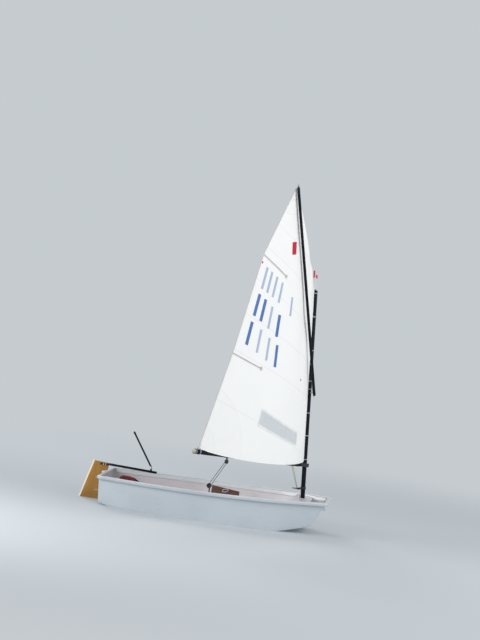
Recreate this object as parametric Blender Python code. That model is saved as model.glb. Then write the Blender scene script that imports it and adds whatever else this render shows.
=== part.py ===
"""A sprit-rigged pram dinghy, level and afloat, with its sail swung out to starboard.

Metres. +X is the bow, +Y is port, +Z is up. The origin is on the centreline at the
waterline, near the middle of the hull. Distances called "from the stern" start at the
aft edge of the stern rail, and heights called "above the keel" start at the lowest
point of the bottom.
"""
import math

import bmesh
import bpy
from mathutils import Matrix, Vector

# Where the hull lies in the part's frame
STERN_X = -1.15
KEEL_Z = -0.09

# Clearances
SEAT = 0.0003          # between pieces that touch
HULL_SEAT = 0.0005     # between a fitted piece and the curved skin
SOFT_SEAT = 0.0010     # between soft pieces that touch
PIN_PLAY = 0.0008      # between a pin and its eye
RUNNING = 0.005        # between pieces that move past each other

# Hull
LENGTH = 2.32
SKIN = 0.009
SHEER_STERN = 0.384    # rail top above the keel
SHEER_MIDDLE = 0.398
SHEER_BOW = 0.437
KEEL_LOW_FROM_STERN = 1.05
RISE_STERN = 0.117
RISE_BOW = 0.175
STERN_RAKE = math.radians(3.5)
BOW_RAKE = math.radians(25.0)
STATIONS = 13
BEAM_STERN = 0.440     # half widths at the sheer
BEAM_AFT = 0.523
BEAM_MIDDLE = 0.543
BEAM_FORE = 0.470
BEAM_BOW = 0.278
FLAT_STERN = 0.390     # half widths of the bottom
FLAT_AFT = 0.440
FLAT_MIDDLE = 0.450
FLAT_FORE = 0.385
FLAT_BOW = 0.220
PLAN = (
    # share of length, half beam at the sheer, half width of the bottom
    (0.00, BEAM_STERN, FLAT_STERN),
    (0.27, BEAM_AFT, FLAT_AFT),
    (0.48, BEAM_MIDDLE, FLAT_MIDDLE),
    (0.75, BEAM_FORE, FLAT_FORE),
    (1.00, BEAM_BOW, FLAT_BOW),
)

# Rail
RAIL_OUT = 0.022
RAIL_END = 0.018
RAIL_DROP = 0.034
RAIL_TOP = 0.010
RAIL_IN = 0.008

# Daggerboard and its case
BOARD_FROM_STERN = 1.113
BOARD_WIDTH = 0.285
BOARD_THICK = 0.015
BOARD_LENGTH = 1.067
BOARD_TOP = 0.410
CASE_WALL = 0.012
CASE_TOP = 0.315
CHEEK_HEIGHT = 0.045
CHEEK_THICK = 0.014
CHEEK_MARGIN = 0.020
BOARD_CORNER = 0.030
SLOT_HALF = BOARD_THICK / 2 + RUNNING
CASE_HALF = SLOT_HALF + CASE_WALL
CASE_START = BOARD_FROM_STERN - RUNNING - CASE_WALL
CASE_END = BOARD_FROM_STERN + BOARD_WIDTH + RUNNING + CASE_WALL

# Midship frame
FRAME_THICK = 0.012
FRAME_TOP = 0.205
FRAME_HORN_HALF = 0.060
FRAME_HORN_SPREAD = 0.050
FRAME_DRAIN = 0.035
FRAME_FORE = CASE_START - SEAT
FRAME_AFT = FRAME_FORE - FRAME_THICK

# Mast
MAST_RAKE = math.radians(4.62)
MAST_RADIUS = 0.0225
MAST_LENGTH = 2.35
MAST_EDGE = 0.003
MAST_FOOT_AT = LENGTH - 0.2607   # from the stern
STEP_SOLE = 0.0167               # under the mast's foot
STEP_DEPTH = 0.024
STEP_HALF = 0.050
THWART_TOP = 0.405
THWART_THICK = 0.018
THWART_WIDTH = 0.170
THWART_SEAT = 0.0015   # the side is twisted there
CLAMP_HALF = 0.036
CLAMP_COLLAR = 0.012
CLAMP_LEVER = 0.045
CLAMP_LEVER_THICK = 0.014
VANE_STALK = 0.130
VANE_STALK_RADIUS = 0.0025
VANE_FOOT_RADIUS = 0.009
VANE_FOOT = 0.010
VANE_THICK = 0.003

# Boom and sprit, in the rig's plane: out along the boom, to leeward, up the mast
RIG_SWING = math.radians(62.5)
JAW_HEIGHT = 0.751
BOOM_RADIUS = 0.023
BOOM_LENGTH = 2.010
BOOM_LIFT = math.radians(6.6)
BOOM_CAP = 0.030
BOOM_CAP_PROUD = 0.0015
JAW_REACH = 0.120
JAW_HALF_TALL = 0.019
JAW_WALL = 0.008
SHEET_BLOCK_OUT = 1.440
SHEET_BLOCK_DROP = 0.036
SHEET_BLOCK_RADIUS = 0.020
SHEET_BLOCK_HALF = 0.010
VANG_DROP = 0.232
VANG_HALF_TALL = 0.012
SPRIT_RADIUS = 0.014
SPRIT_HEEL_OUT = 0.004
SPRIT_HEEL_LEE = 0.070
SPRIT_HEEL_UP = 0.686
SPRIT_TIP_OUT = 0.806
SPRIT_TIP_LEE = 0.214
SPRIT_TIP_UP = 2.790
SPRIT_HEEL = Vector((SPRIT_HEEL_OUT, SPRIT_HEEL_LEE, SPRIT_HEEL_UP))
SPRIT_TIP = Vector((SPRIT_TIP_OUT, SPRIT_TIP_LEE, SPRIT_TIP_UP))
STROP_RADIUS = 0.006
STROP_ABOVE_HEEL = 0.055

# Sail, in the rig's plane
SAIL_THICK = 0.003
LUFF_OUT = MAST_RADIUS + PIN_PLAY
TACK_UP = 0.042
THROAT_BELOW_HEAD = 0.0167
CLEW_OUT = 1.932
CLEW_UP = 0.258
LOWER_LEECH_OUT = 1.530
LOWER_LEECH_LEE = 0.060
LOWER_LEECH_UP = 1.170
UPPER_LEECH_OUT = 1.170
UPPER_LEECH_LEE = 0.105
UPPER_LEECH_UP = 2.100
PEAK_OUT = 0.792
PEAK_LEE = 0.186
PEAK_UP = 2.748
LEECH = (
    # share of the height, place
    (0.00, Vector((CLEW_OUT, 0.0, CLEW_UP))),
    (0.36, Vector((LOWER_LEECH_OUT, LOWER_LEECH_LEE, LOWER_LEECH_UP))),
    (0.74, Vector((UPPER_LEECH_OUT, UPPER_LEECH_LEE, UPPER_LEECH_UP))),
    (1.00, Vector((PEAK_OUT, PEAK_LEE, PEAK_UP))),
)
FOOT_ROUND = 0.084
FOOT_SHAPE = 1.25
HEAD_ROUND = 0.035
BELLY = 0.120
BELLY_LOSS_ALOFT = 0.60
SAIL_COLUMNS = 13
SAIL_ROWS_ABOVE_WINDOW = 13
WINDOW_ROWS = (0.0, 0.06, 0.122, 0.178)
WINDOW_COLUMNS = (2, 8)
WINDOW_MIDDLE = 0.387
WINDOW_SLANT = 0.115
WINDOW_SLANT_END = 0.30
BATTEN_WIDTH = 0.022
BATTEN_THICK = 0.003

# Rudder and tiller
PIVOT_FROM_STERN = -0.016
PIVOT_HEIGHT = 0.384
PIN_RADIUS = 0.004
BLADE_THICK = 0.015
BLADE_SETBACK = 0.012
TILLER_RADIUS = 0.012
TILLER_FROM_STERN = (0.0370, 0.533)
TILLER_HEIGHT = (0.4570, 0.4450)
UNIVERSAL_FROM_STERN = 0.471
UNIVERSAL_HEIGHT = 0.490
BRACKET_WALL = 0.004
BRACKET_BACK = -0.055
BRACKET_AHEAD = 0.078
SADDLE_RADIUS = 0.010
FORK_RADIUS = 0.011
FORK_DROP = 0.012
FORK_TOP = 0.011
FORK_SOLE = 0.004
TAB_HALF = 0.004
TAB_RADIUS = 0.008
TAB_LENGTH = 0.030
EXTENSION_LENGTH = 0.600
EXTENSION_RADIUS = 0.009
EXTENSION_KNOB = 0.035
EXTENSION_KNOB_PROUD = 0.0015
EXTENSION_LEAN = math.radians(57.0)
EXTENSION_RISE = math.radians(28.5)
HINGES = (
    # name, height of its middle from the pivot point
    ("upper", -0.085),
    ("lower", -0.215),
)
PIN_DROP = 0.020
PINTLE_HEIGHT = 0.016
PINTLE_WALL = 0.0025
PINTLE_LENGTH = 0.060
EYE_RADIUS = 0.010
GUDGEON_HEIGHT = 0.012
GUDGEON_HALF = 0.030
GUDGEON_MARGIN = 0.008
GUDGEON_THICK = 0.004
TONGUE_HALF = 0.007
RUDDER_HEAD = (
    # distance from the stern, height above the keel
    (-0.131, 0.478),
    (0.026, 0.470),
    (0.034, 0.455),
    (0.034, 0.420),
    (0.020, 0.406),
)
RUDDER_FRONT = (
    # height from the pivot point
    0.012,
    -0.300,
)
RUDDER_FOOT = (
    # distance from the stern, height above the keel
    (-0.006, -0.020),
    (-0.030, -0.180),
    (-0.075, -0.250),
    (-0.150, -0.285),
    (-0.255, -0.270),
    (-0.282, -0.200),
    (-0.253, 0.014),
)

# Buoyancy bags and their straps
BAG_SIDES = 16
BAG_STEPS = 10
BAG_STERN = 0.070
BAG_TO_FRAME = 0.0737
BAG_END = FRAME_AFT - BAG_TO_FRAME
BAG_RADIUS = 0.105
BAG_CLEAR = 0.002
BOW_BAG_AT = (CASE_END + MAST_FOOT_AT - STEP_HALF) / 2
BOW_BAG_RADIUS = 0.095
BOW_BAG_HALF = 0.240
STRAP_THICK = 0.003
STRAP_WIDTH = 0.040

# Foot straps
FOOT_STRAP_OFF = 0.115
FOOT_STRAP_HALF = 0.025
FOOT_STRAP_HEIGHT = 0.165
FOOT_STRAP_THICK = 0.004
FOOT_STRAP_SAG = 0.018

# Bailer
BAILER_FROM_STERN = 0.120
BAILER_LENGTH = 0.215
BAILER_RADIUS = 0.055
BAILER_SINK = 0.0141    # its rims reach down on each side of the bag's top
BAILER_RINGS = (
    # share of the length, share of the radius, how far its top leans aft
    (0.00, 0.90, 0.000),
    (0.15, 1.00, 0.000),
    (0.60, 1.00, 0.025),
    (1.00, 0.90, 0.070),
)

# Blocks and eye on the hull
HULL_BLOCK_HEIGHT = 0.398
HULL_BLOCK_RADIUS = 0.025
HULL_BLOCK_HALF = 0.011
EYE_HEIGHT = 0.335
EYE_PLATE_HALF = 0.020
EYE_PLATE_THICK = 0.006
EYE_LOOP_RADIUS = 0.0135
EYE_LOOP_HALF = 0.005
EYE_HOLE_RADIUS = 0.006

FINISHES = {
    # name: base colour, roughness, metallic
    "hull_gelcoat": ((0.60, 0.61, 0.66), 0.35, 0.0),
    "rail_grey": ((0.52, 0.53, 0.56), 0.45, 0.0),
    "varnished_ash": ((0.56, 0.32, 0.10), 0.30, 0.0),
    "dark_board": ((0.09, 0.045, 0.03), 0.40, 0.0),
    "black_spar": ((0.02, 0.02, 0.022), 0.35, 0.0),
    "bare_alloy": ((0.70, 0.71, 0.72), 0.35, 1.0),
    "sailcloth": ((0.86, 0.87, 0.90), 0.70, 0.0),
    "clear_film": ((0.80, 0.84, 0.88), 0.10, 0.0),
    "black_plastic": ((0.03, 0.03, 0.03), 0.50, 0.0),
    "grey_plastic": ((0.62, 0.63, 0.64), 0.50, 0.0),
    "red_plastic": ((0.33, 0.03, 0.03), 0.45, 0.0),
    "bag_vinyl": ((0.78, 0.79, 0.80), 0.40, 0.0),
    "blue_webbing": ((0.05, 0.13, 0.42), 0.80, 0.0),
    "vane_red": ((0.65, 0.05, 0.04), 0.50, 0.0),
}


def fore(distance):
    """Give the X of a distance from the stern."""
    return STERN_X + distance


def up(height):
    """Give the Z of a height above the keel."""
    return KEEL_Z + height


def finish(name):
    """Return the named material, made once."""
    if name in bpy.data.materials:
        return bpy.data.materials[name]
    colour, roughness, metallic = FINISHES[name]
    material = bpy.data.materials.new(name)
    material.use_nodes = True
    shader = material.node_tree.nodes["Principled BSDF"]
    shader.inputs["Base Color"].default_value = (*colour, 1.0)
    shader.inputs["Roughness"].default_value = roughness
    shader.inputs["Metallic"].default_value = metallic
    material.diffuse_color = (*colour, 1.0)
    return material


def place(name, bm, finish_name, parent=None):
    """Turn a bmesh into a named object with its faces pointing out."""
    bmesh.ops.recalc_face_normals(bm, faces=bm.faces)
    mesh = bpy.data.meshes.new(name)
    bm.to_mesh(mesh)
    bm.free()
    obj = bpy.data.objects.new(name, mesh)
    bpy.context.collection.objects.link(obj)
    obj.parent = parent
    if finish_name:
        mesh.materials.append(finish(finish_name))
    return obj


def guide(name, matrix, parent=None):
    """Make an empty that carries moving pieces."""
    empty = bpy.data.objects.new(name, None)
    bpy.context.collection.objects.link(empty)
    empty.parent = parent
    empty.matrix_local = matrix
    return empty


def loft(name, rings, finish_name, parent=None):
    """Skin closed rings of equal count, in order, and close both ends."""
    bm = bmesh.new()
    rows = [[bm.verts.new(point) for point in ring] for ring in rings]
    count = len(rows[0])
    for lower, upper in zip(rows, rows[1:]):
        for i in range(count):
            j = (i + 1) % count
            bm.faces.new((lower[i], lower[j], upper[j], upper[i]))
    bm.faces.new(rows[0])
    bm.faces.new(rows[-1])
    return place(name, bm, finish_name, parent)


def block(name, low, high, finish_name, parent=None):
    """Make a box between two corners."""
    (x0, y0, z0), (x1, y1, z1) = low, high
    rings = [[(x0, y0, z), (x1, y0, z), (x1, y1, z), (x0, y1, z)] for z in (z0, z1)]
    return loft(name, rings, finish_name, parent)


def circle(centre, axis, radius, sides, start=0.0):
    """Give the points of a circle round an axis."""
    axis = Vector(axis).normalized()
    helper = Vector((0, 0, 1)) if abs(axis.z) < 0.9 else Vector((1, 0, 0))
    across = axis.cross(helper).normalized()
    along = axis.cross(across)
    turn = 2 * math.pi / sides
    return [
        Vector(centre) + radius * (across * math.cos(start + turn * i) + along * math.sin(start + turn * i))
        for i in range(sides)
    ]


def rod(name, stops, finish_name, parent=None, sides=24):
    """Make a round bar through stops of (centre, radius) along one straight axis."""
    axis = Vector(stops[-1][0]) - Vector(stops[0][0])
    rings = [circle(centre, axis, radius, sides) for centre, radius in stops]
    return loft(name, rings, finish_name, parent)


def boolean(obj, tool, operation):
    """Join a tool to an object, or cut it away, and hide the tool."""
    modifier = obj.modifiers.new(f"{operation.lower()}_{tool.name}", "BOOLEAN")
    modifier.object = tool
    modifier.operation = operation
    modifier.solver = "EXACT"
    tool.hide_render = True
    tool.display_type = "WIRE"


# Hull form

def smooth(column, share):
    """Read a column of PLAN at a share of the length, on a smooth curve."""
    rows = PLAN
    i = max(k for k in range(len(rows) - 1) if rows[k][0] <= share)
    slopes = []
    for k in (i, i + 1):
        low = rows[max(k - 1, 0)]
        high = rows[min(k + 1, len(rows) - 1)]
        slopes.append((high[column] - low[column]) / (high[0] - low[0]))
    span = rows[i + 1][0] - rows[i][0]
    t = (share - rows[i][0]) / span
    rest = 1 - t
    return (
        rows[i][column] * (1 + 2 * t) * rest ** 2
        + slopes[0] * span * t * rest ** 2
        + rows[i + 1][column] * t * t * (3 - 2 * t)
        - slopes[1] * span * t * t * rest
    )


def sheer_height(distance):
    """Give the rail top above the keel at a distance from the stern."""
    t = distance / LENGTH
    ends = SHEER_STERN * (1 - t) * (1 - 2 * t) + SHEER_BOW * t * (2 * t - 1)
    return ends + 4 * SHEER_MIDDLE * t * (1 - t)


def keel_height(distance):
    """Give the outside of the bottom above the keel."""
    run = distance - KEEL_LOW_FROM_STERN
    if run < 0:
        return RISE_STERN * (run / KEEL_LOW_FROM_STERN) ** 2
    return RISE_BOW * (run / (BOTTOM_BOW - KEEL_LOW_FROM_STERN)) ** 2


SHELL_START = RAIL_END + SKIN + SEAT
SHELL_END = LENGTH - SHELL_START
BOTTOM_STERN = SHELL_START + (SHEER_STERN - RISE_STERN) * math.tan(STERN_RAKE)
BOTTOM_BOW = SHELL_END - (SHEER_BOW - RISE_BOW) * math.tan(BOW_RAKE)


class Section:
    """One slanted section of the hull, from the bottom's edge up to the sheer."""

    def __init__(self, share):
        self.sheer_at = SHELL_START + share * (SHELL_END - SHELL_START)
        self.keel_at = BOTTOM_STERN + share * (BOTTOM_BOW - BOTTOM_STERN)
        self.sheer = sheer_height(self.sheer_at)
        self.keel = keel_height(self.keel_at)
        self.beam = smooth(1, share)
        self.bottom = smooth(2, share)

    def lift(self, height):
        """Give the share of the way from the bottom to the sheer."""
        return (height - self.keel) / (self.sheer - self.keel)

    def at(self, height, side=1, inset=0.0, shift=0.0):
        """Give the point on the skin's outside at a height, moved in by inset."""
        lift = self.lift(height)
        distance = self.keel_at + (self.sheer_at - self.keel_at) * lift + shift
        half = self.bottom + (self.beam - self.bottom) * lift - inset
        return Vector((fore(distance), side * half, up(height)))


SECTIONS = [Section(k / (STATIONS - 1)) for k in range(STATIONS)]


def floor_height(distance):
    """Give the top of the bottom skin above the keel, as it is skinned."""
    inner = [(s.at(s.keel + SKIN).x - STERN_X, s.keel + SKIN) for s in SECTIONS]
    for (d0, h0), (d1, h1) in zip(inner, inner[1:]):
        if d0 <= distance <= d1:
            return h0 + (h1 - h0) * (distance - d0) / (d1 - d0)
    raise ValueError("outside the hull")


def inside_width(distance, height):
    """Give the half width between the side skins, as they are skinned."""
    inner = [s.at(height, inset=SKIN) for s in SECTIONS]
    x = fore(distance)
    for low, high in zip(inner, inner[1:]):
        if low.x <= x <= high.x:
            return low.y + (high.y - low.y) * (x - low.x) / (high.x - low.x)
    raise ValueError("outside the hull")


def build_shell():
    """Make the bottom, two sides and two transoms."""
    rings = []
    for s in SECTIONS:
        low, high = s.keel, s.keel + SKIN
        rings.append([s.at(low, -1), s.at(low, 1), s.at(high, 1), s.at(high, -1)])
    bottom = loft("hull_bottom", rings, "hull_gelcoat")
    slot_low = (fore(BOARD_FROM_STERN - RUNNING), -SLOT_HALF, KEEL_Z - SKIN)
    slot_high = (fore(BOARD_FROM_STERN + BOARD_WIDTH + RUNNING), SLOT_HALF, up(CASE_TOP) + SKIN)
    boolean(bottom, block("cutter_slot_bottom", slot_low, slot_high, None), "DIFFERENCE")

    for side, word in ((1, "port"), (-1, "starboard")):
        rings = []
        for s in SECTIONS:
            low, high = s.keel + SKIN + SEAT, s.sheer - RAIL_TOP - SEAT
            rings.append([
                s.at(low, side), s.at(high, side),
                s.at(high, side, SKIN), s.at(low, side, SKIN),
            ])
        loft(f"hull_side_{word}", rings, "hull_gelcoat")

    for s, aft, name in ((SECTIONS[0], -1, "stern_transom"), (SECTIONS[-1], 1, "bow_transom")):
        low, high = s.keel, s.sheer - RAIL_TOP - SEAT
        rings = []
        for shift in (aft * SEAT, aft * (SEAT + SKIN)):
            corners = [(low, -1), (low, 1), (high, 1), (high, -1)]
            rings.append([s.at(height, side, shift=shift) for height, side in corners])
        loft(name, rings, "hull_gelcoat")


def build_rail():
    """Make the rail along both sides and across both ends."""
    start = RAIL_IN + SEAT
    run = SHELL_END - SHELL_START
    shares = [start / run] + [k / (STATIONS - 1) for k in range(1, STATIONS - 1)] + [1 - start / run]
    for side, word in ((1, "port"), (-1, "starboard")):
        rings = []
        for share in shares:
            s = Section(share)
            outer, inner = s.beam + RAIL_OUT, s.beam - SKIN - RAIL_IN
            top, under, drop = s.sheer, s.sheer - RAIL_TOP, s.sheer - RAIL_DROP
            outline = [
                (outer, top), (outer, drop), (s.beam + SEAT, drop),
                (s.beam + SEAT, under), (inner, under), (inner, top),
            ]
            rings.append([(fore(s.sheer_at), side * y, up(z)) for y, z in outline])
        loft(f"gunwale_{word}", rings, "rail_grey")

    ends = (
        (SECTIONS[0], 0.0, 1, "stern_rail"),
        (SECTIONS[-1], LENGTH, -1, "bow_rail"),
    )
    for s, edge, inward, name in ends:
        outline = [
            (0.0, s.sheer), (0.0, s.sheer - RAIL_DROP), (RAIL_END - SEAT, s.sheer - RAIL_DROP),
            (RAIL_END - SEAT, s.sheer - RAIL_TOP), (SHELL_START + RAIL_IN, s.sheer - RAIL_TOP),
            (SHELL_START + RAIL_IN, s.sheer),
        ]
        half = s.beam + RAIL_OUT
        rings = [[(fore(edge + inward * x), y, up(z)) for x, z in outline] for y in (-half, half)]
        loft(name, rings, "rail_grey")


# Inside the hull

def build_case():
    """Make the daggerboard case, standing on the bottom."""
    rings = []
    for distance in (CASE_START, CASE_END):
        low, high = up(floor_height(distance) + SEAT), up(CASE_TOP)
        x = fore(distance)
        rings.append([(x, -CASE_HALF, low), (x, CASE_HALF, low), (x, CASE_HALF, high), (x, -CASE_HALF, high)])
    case = loft("daggerboard_case", rings, "hull_gelcoat")
    low = (fore(BOARD_FROM_STERN - RUNNING), -SLOT_HALF, KEEL_Z - SKIN)
    high = (fore(BOARD_FROM_STERN + BOARD_WIDTH + RUNNING), SLOT_HALF, up(CASE_TOP) + SKIN)
    boolean(case, block("cutter_slot_case", low, high, None), "DIFFERENCE")


def build_midship_frame():
    """Make the frame across the hull aft of the case, with drains at the bottom corners."""
    rings = []
    for distance in (FRAME_AFT, FRAME_FORE):
        low = floor_height(distance) + SEAT
        side_low = inside_width(distance, low + FRAME_DRAIN) - HULL_SEAT
        side_high = inside_width(distance, FRAME_TOP) - HULL_SEAT
        outline = [
            (side_low - FRAME_DRAIN, low), (side_low, low + FRAME_DRAIN), (side_high, FRAME_TOP),
            (FRAME_HORN_HALF + FRAME_HORN_SPREAD, FRAME_TOP), (FRAME_HORN_HALF, CASE_TOP),
        ]
        full = outline + [(-y, z) for y, z in reversed(outline)]
        rings.append([(fore(distance), y, up(z)) for y, z in full])
    loft("midship_frame", rings, "hull_gelcoat")


MAST_UP = Vector((-math.sin(MAST_RAKE), 0.0, math.cos(MAST_RAKE)))
MAST_FOOT = Vector((fore(MAST_FOOT_AT), 0.0, up(floor_height(MAST_FOOT_AT) + STEP_SOLE)))
MAST_HEAD = MAST_FOOT + MAST_UP * MAST_LENGTH


def mast_point(height):
    """Give the point on the mast's axis at a height above the keel."""
    return MAST_FOOT + MAST_UP * ((up(height) - MAST_FOOT.z) / MAST_UP.z)


def build_mast_seat():
    """Make the thwart, the clamp on it and the step on the bottom."""
    middle = mast_point(THWART_TOP).x - STERN_X
    low = THWART_TOP - THWART_THICK
    rings = []
    for distance in (middle - THWART_WIDTH / 2, middle + THWART_WIDTH / 2):
        narrow = inside_width(distance, low) - THWART_SEAT
        wide = inside_width(distance, THWART_TOP) - THWART_SEAT
        outline = [(-narrow, low), (narrow, low), (wide, THWART_TOP), (-wide, THWART_TOP)]
        rings.append([(fore(distance), y, up(z)) for y, z in outline])
    thwart = loft("mast_thwart", rings, "hull_gelcoat")
    hole = MAST_RADIUS + PIN_PLAY
    ends = [(mast_point(THWART_TOP - 0.1), hole), (mast_point(THWART_TOP + 0.1), hole)]
    boolean(thwart, rod("cutter_thwart", ends, None), "DIFFERENCE")

    x = fore(middle)
    front, face = x + CLAMP_HALF, x - CLAMP_HALF
    back = face - CLAMP_LEVER_THICK
    base, collar, top = up(THWART_TOP + SEAT), up(THWART_TOP + CLAMP_COLLAR), up(THWART_TOP + CLAMP_LEVER)
    outline = [(front, base), (front, collar), (face, collar), (face, top), (back, top), (back, base)]
    rings = [[(px, y, pz) for px, pz in outline] for y in (-CLAMP_HALF, CLAMP_HALF)]
    clamp = loft("mast_clamp", rings, "grey_plastic")
    boolean(clamp, rod("cutter_clamp", ends, None), "DIFFERENCE")

    top = MAST_FOOT.z - KEEL_Z + STEP_DEPTH
    rings = []
    for distance in (MAST_FOOT_AT - STEP_HALF, MAST_FOOT_AT + STEP_HALF):
        base = floor_height(distance) + SEAT
        corners = [(-STEP_HALF, base), (STEP_HALF, base), (STEP_HALF, top), (-STEP_HALF, top)]
        rings.append([(fore(distance), y, up(z)) for y, z in corners])
    step = loft("mast_step", rings, "grey_plastic")
    socket = [(MAST_FOOT - MAST_UP * PIN_PLAY, hole), (MAST_FOOT + MAST_UP * 0.1, hole)]
    boolean(step, rod("cutter_step", socket, None), "DIFFERENCE")


def side_bag_centre(distance, side):
    """Give the middle of a side bag, clear of the bottom and the side."""
    height = floor_height(distance) + BAG_RADIUS + BAG_CLEAR + STRAP_THICK
    half = min(
        inside_width(distance, height + lift * BAG_RADIUS) - BAG_RADIUS * math.sqrt(1 - lift * lift)
        for lift in (-0.7, -0.35, 0.0, 0.35, 0.7)
    )
    return Vector((fore(distance), side * (half - BAG_CLEAR - STRAP_THICK), up(height)))


def bag_shape(t):
    """Give a bag's thickness along its length, full in the middle with blunt ends."""
    return math.sqrt(max(0.0, 1 - abs(2 * t - 1) ** 5)) * 0.72 + 0.28


def side_bag_stops(side):
    """Give a side bag's (middle, radius) from aft to fore."""
    stops = []
    for k in range(BAG_STEPS + 1):
        t = k / BAG_STEPS
        centre = side_bag_centre(BAG_STERN + (BAG_END - BAG_STERN) * t, side)
        stops.append((centre, BAG_RADIUS * bag_shape(t)))
    return stops


def side_bag_top(distance, side):
    """Give the top of a side bag, as it is skinned."""
    tops = [centre + Vector((0, 0, radius)) for centre, radius in side_bag_stops(side)]
    for low, high in zip(tops, tops[1:]):
        if low.x <= fore(distance) <= high.x:
            return low.lerp(high, (fore(distance) - low.x) / (high.x - low.x))
    raise ValueError("outside the bag")


def bow_bag_height():
    """Give the height of the bow bag's middle above the keel, just clear of the bottom."""
    turns = [2 * math.pi * k / BAG_SIDES for k in range(BAG_SIDES)]
    return SOFT_SEAT / 2 + max(
        floor_height(BOW_BAG_AT + BOW_BAG_RADIUS * math.cos(turn)) - BOW_BAG_RADIUS * math.sin(turn)
        for turn in turns
    )


def build_bags():
    """Make the three air bags and the straps that hold the side bags down."""
    for side, word in ((1, "port"), (-1, "starboard")):
        rings = [circle(centre, (1, 0, 0), radius, BAG_SIDES) for centre, radius in side_bag_stops(side)]
        loft(f"buoyancy_bag_{word}", rings, "bag_vinyl")
        build_side_strap(word, (BAG_STERN + BAG_END) / 2, side)

    rings = []
    for k in range(BAG_STEPS + 1):
        t = k / BAG_STEPS
        centre = (fore(BOW_BAG_AT), BOW_BAG_HALF * (2 * t - 1), up(bow_bag_height()))
        rings.append(circle(centre, (0, 1, 0), BOW_BAG_RADIUS * bag_shape(t), BAG_SIDES))
    loft("buoyancy_bag_bow", rings, "bag_vinyl")


def build_side_strap(word, distance, side):
    """Make the webbing over a side bag, from the side skin down to the bottom."""
    rings = []
    arc_steps = 8
    first_turn = math.radians(62)
    arc_step = math.radians(128) / arc_steps
    near = (BAG_RADIUS + SOFT_SEAT) / math.cos(arc_step / 2)
    far = near + STRAP_THICK
    for edge in (-STRAP_WIDTH / 2, STRAP_WIDTH / 2):
        centre = side_bag_centre(distance + edge, side)
        inner, outer = [], []
        for k in range(arc_steps + 1):
            turn = first_turn + arc_step * k
            y, z = side * math.cos(turn), math.sin(turn)
            inner.append(centre + Vector((0, y * near, z * near)))
            outer.append(centre + Vector((0, y * far, z * far)))
        floor = up(floor_height(distance + edge) + SEAT)
        under = outer[0].z - STRAP_THICK
        wall = side * (inside_width(distance + edge, under - KEEL_Z) - HULL_SEAT)
        inner.insert(0, Vector((inner[0].x, wall, under)))
        outer.insert(0, Vector((outer[0].x, wall, outer[0].z)))
        inner.append(Vector((inner[-1].x, inner[-1].y, floor)))
        outer.append(Vector((outer[-1].x, outer[-1].y, floor)))
        rings.append(outer + inner[::-1])
    loft(f"bag_strap_{word}", rings, "blue_webbing")


def build_hiking_straps():
    """Make the two foot straps from the stern to the midship frame."""
    for side, word in ((1, "port"), (-1, "starboard")):
        y = side * FOOT_STRAP_OFF
        low_y, high_y = y - FOOT_STRAP_HALF, y + FOOT_STRAP_HALF
        aft = SECTIONS[0].at(FOOT_STRAP_HEIGHT, inset=SKIN).x + HULL_SEAT
        ahead = fore(FRAME_AFT) - HULL_SEAT
        rings = []
        for t in (0.0, 0.25, 0.5, 0.75, 1.0):
            x = aft + (ahead - aft) * t
            z = up(FOOT_STRAP_HEIGHT) - FOOT_STRAP_SAG * 4 * t * (1 - t)
            top = z + FOOT_STRAP_THICK
            rings.append([(x, low_y, z), (x, high_y, z), (x, high_y, top), (x, low_y, top)])
        loft(f"hiking_strap_{word}", rings, "black_plastic")


def build_bailer():
    """Make the scoop bailer that lies on the port bag by the stern, along the bag's top."""
    rings = []
    steps = 10
    low, high = (side_bag_top(BAG_STERN + (BAG_END - BAG_STERN) * k / BAG_STEPS, 1) for k in (1, 2))
    for t, size, lean in BAILER_RINGS:
        distance = BAILER_FROM_STERN + BAILER_LENGTH * t
        base = low + (high - low) * (fore(distance) - low.x) / (high.x - low.x) - Vector((0, 0, BAILER_SINK))
        arc = []
        for k in range(steps + 1):
            turn = math.pi * k / steps
            y, z = math.cos(turn) * BAILER_RADIUS * size, math.sin(turn) * BAILER_RADIUS * size
            arc.append(base + Vector((-lean * math.sin(turn), y, z)))
        rings.append(arc)
    outer = loft("bailer", rings, "red_plastic")
    inner_rings = []
    for ring, shift in zip(rings, (0.003, 0.0, 0.0, 0.05)):
        middle = (ring[0] + ring[-1]) / 2
        inner_rings.append([
            middle + (point - middle) * 0.92 + Vector((shift, 0, -0.004)) for point in ring
        ])
    boolean(outer, loft("cutter_bailer", inner_rings, None), "DIFFERENCE")


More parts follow.
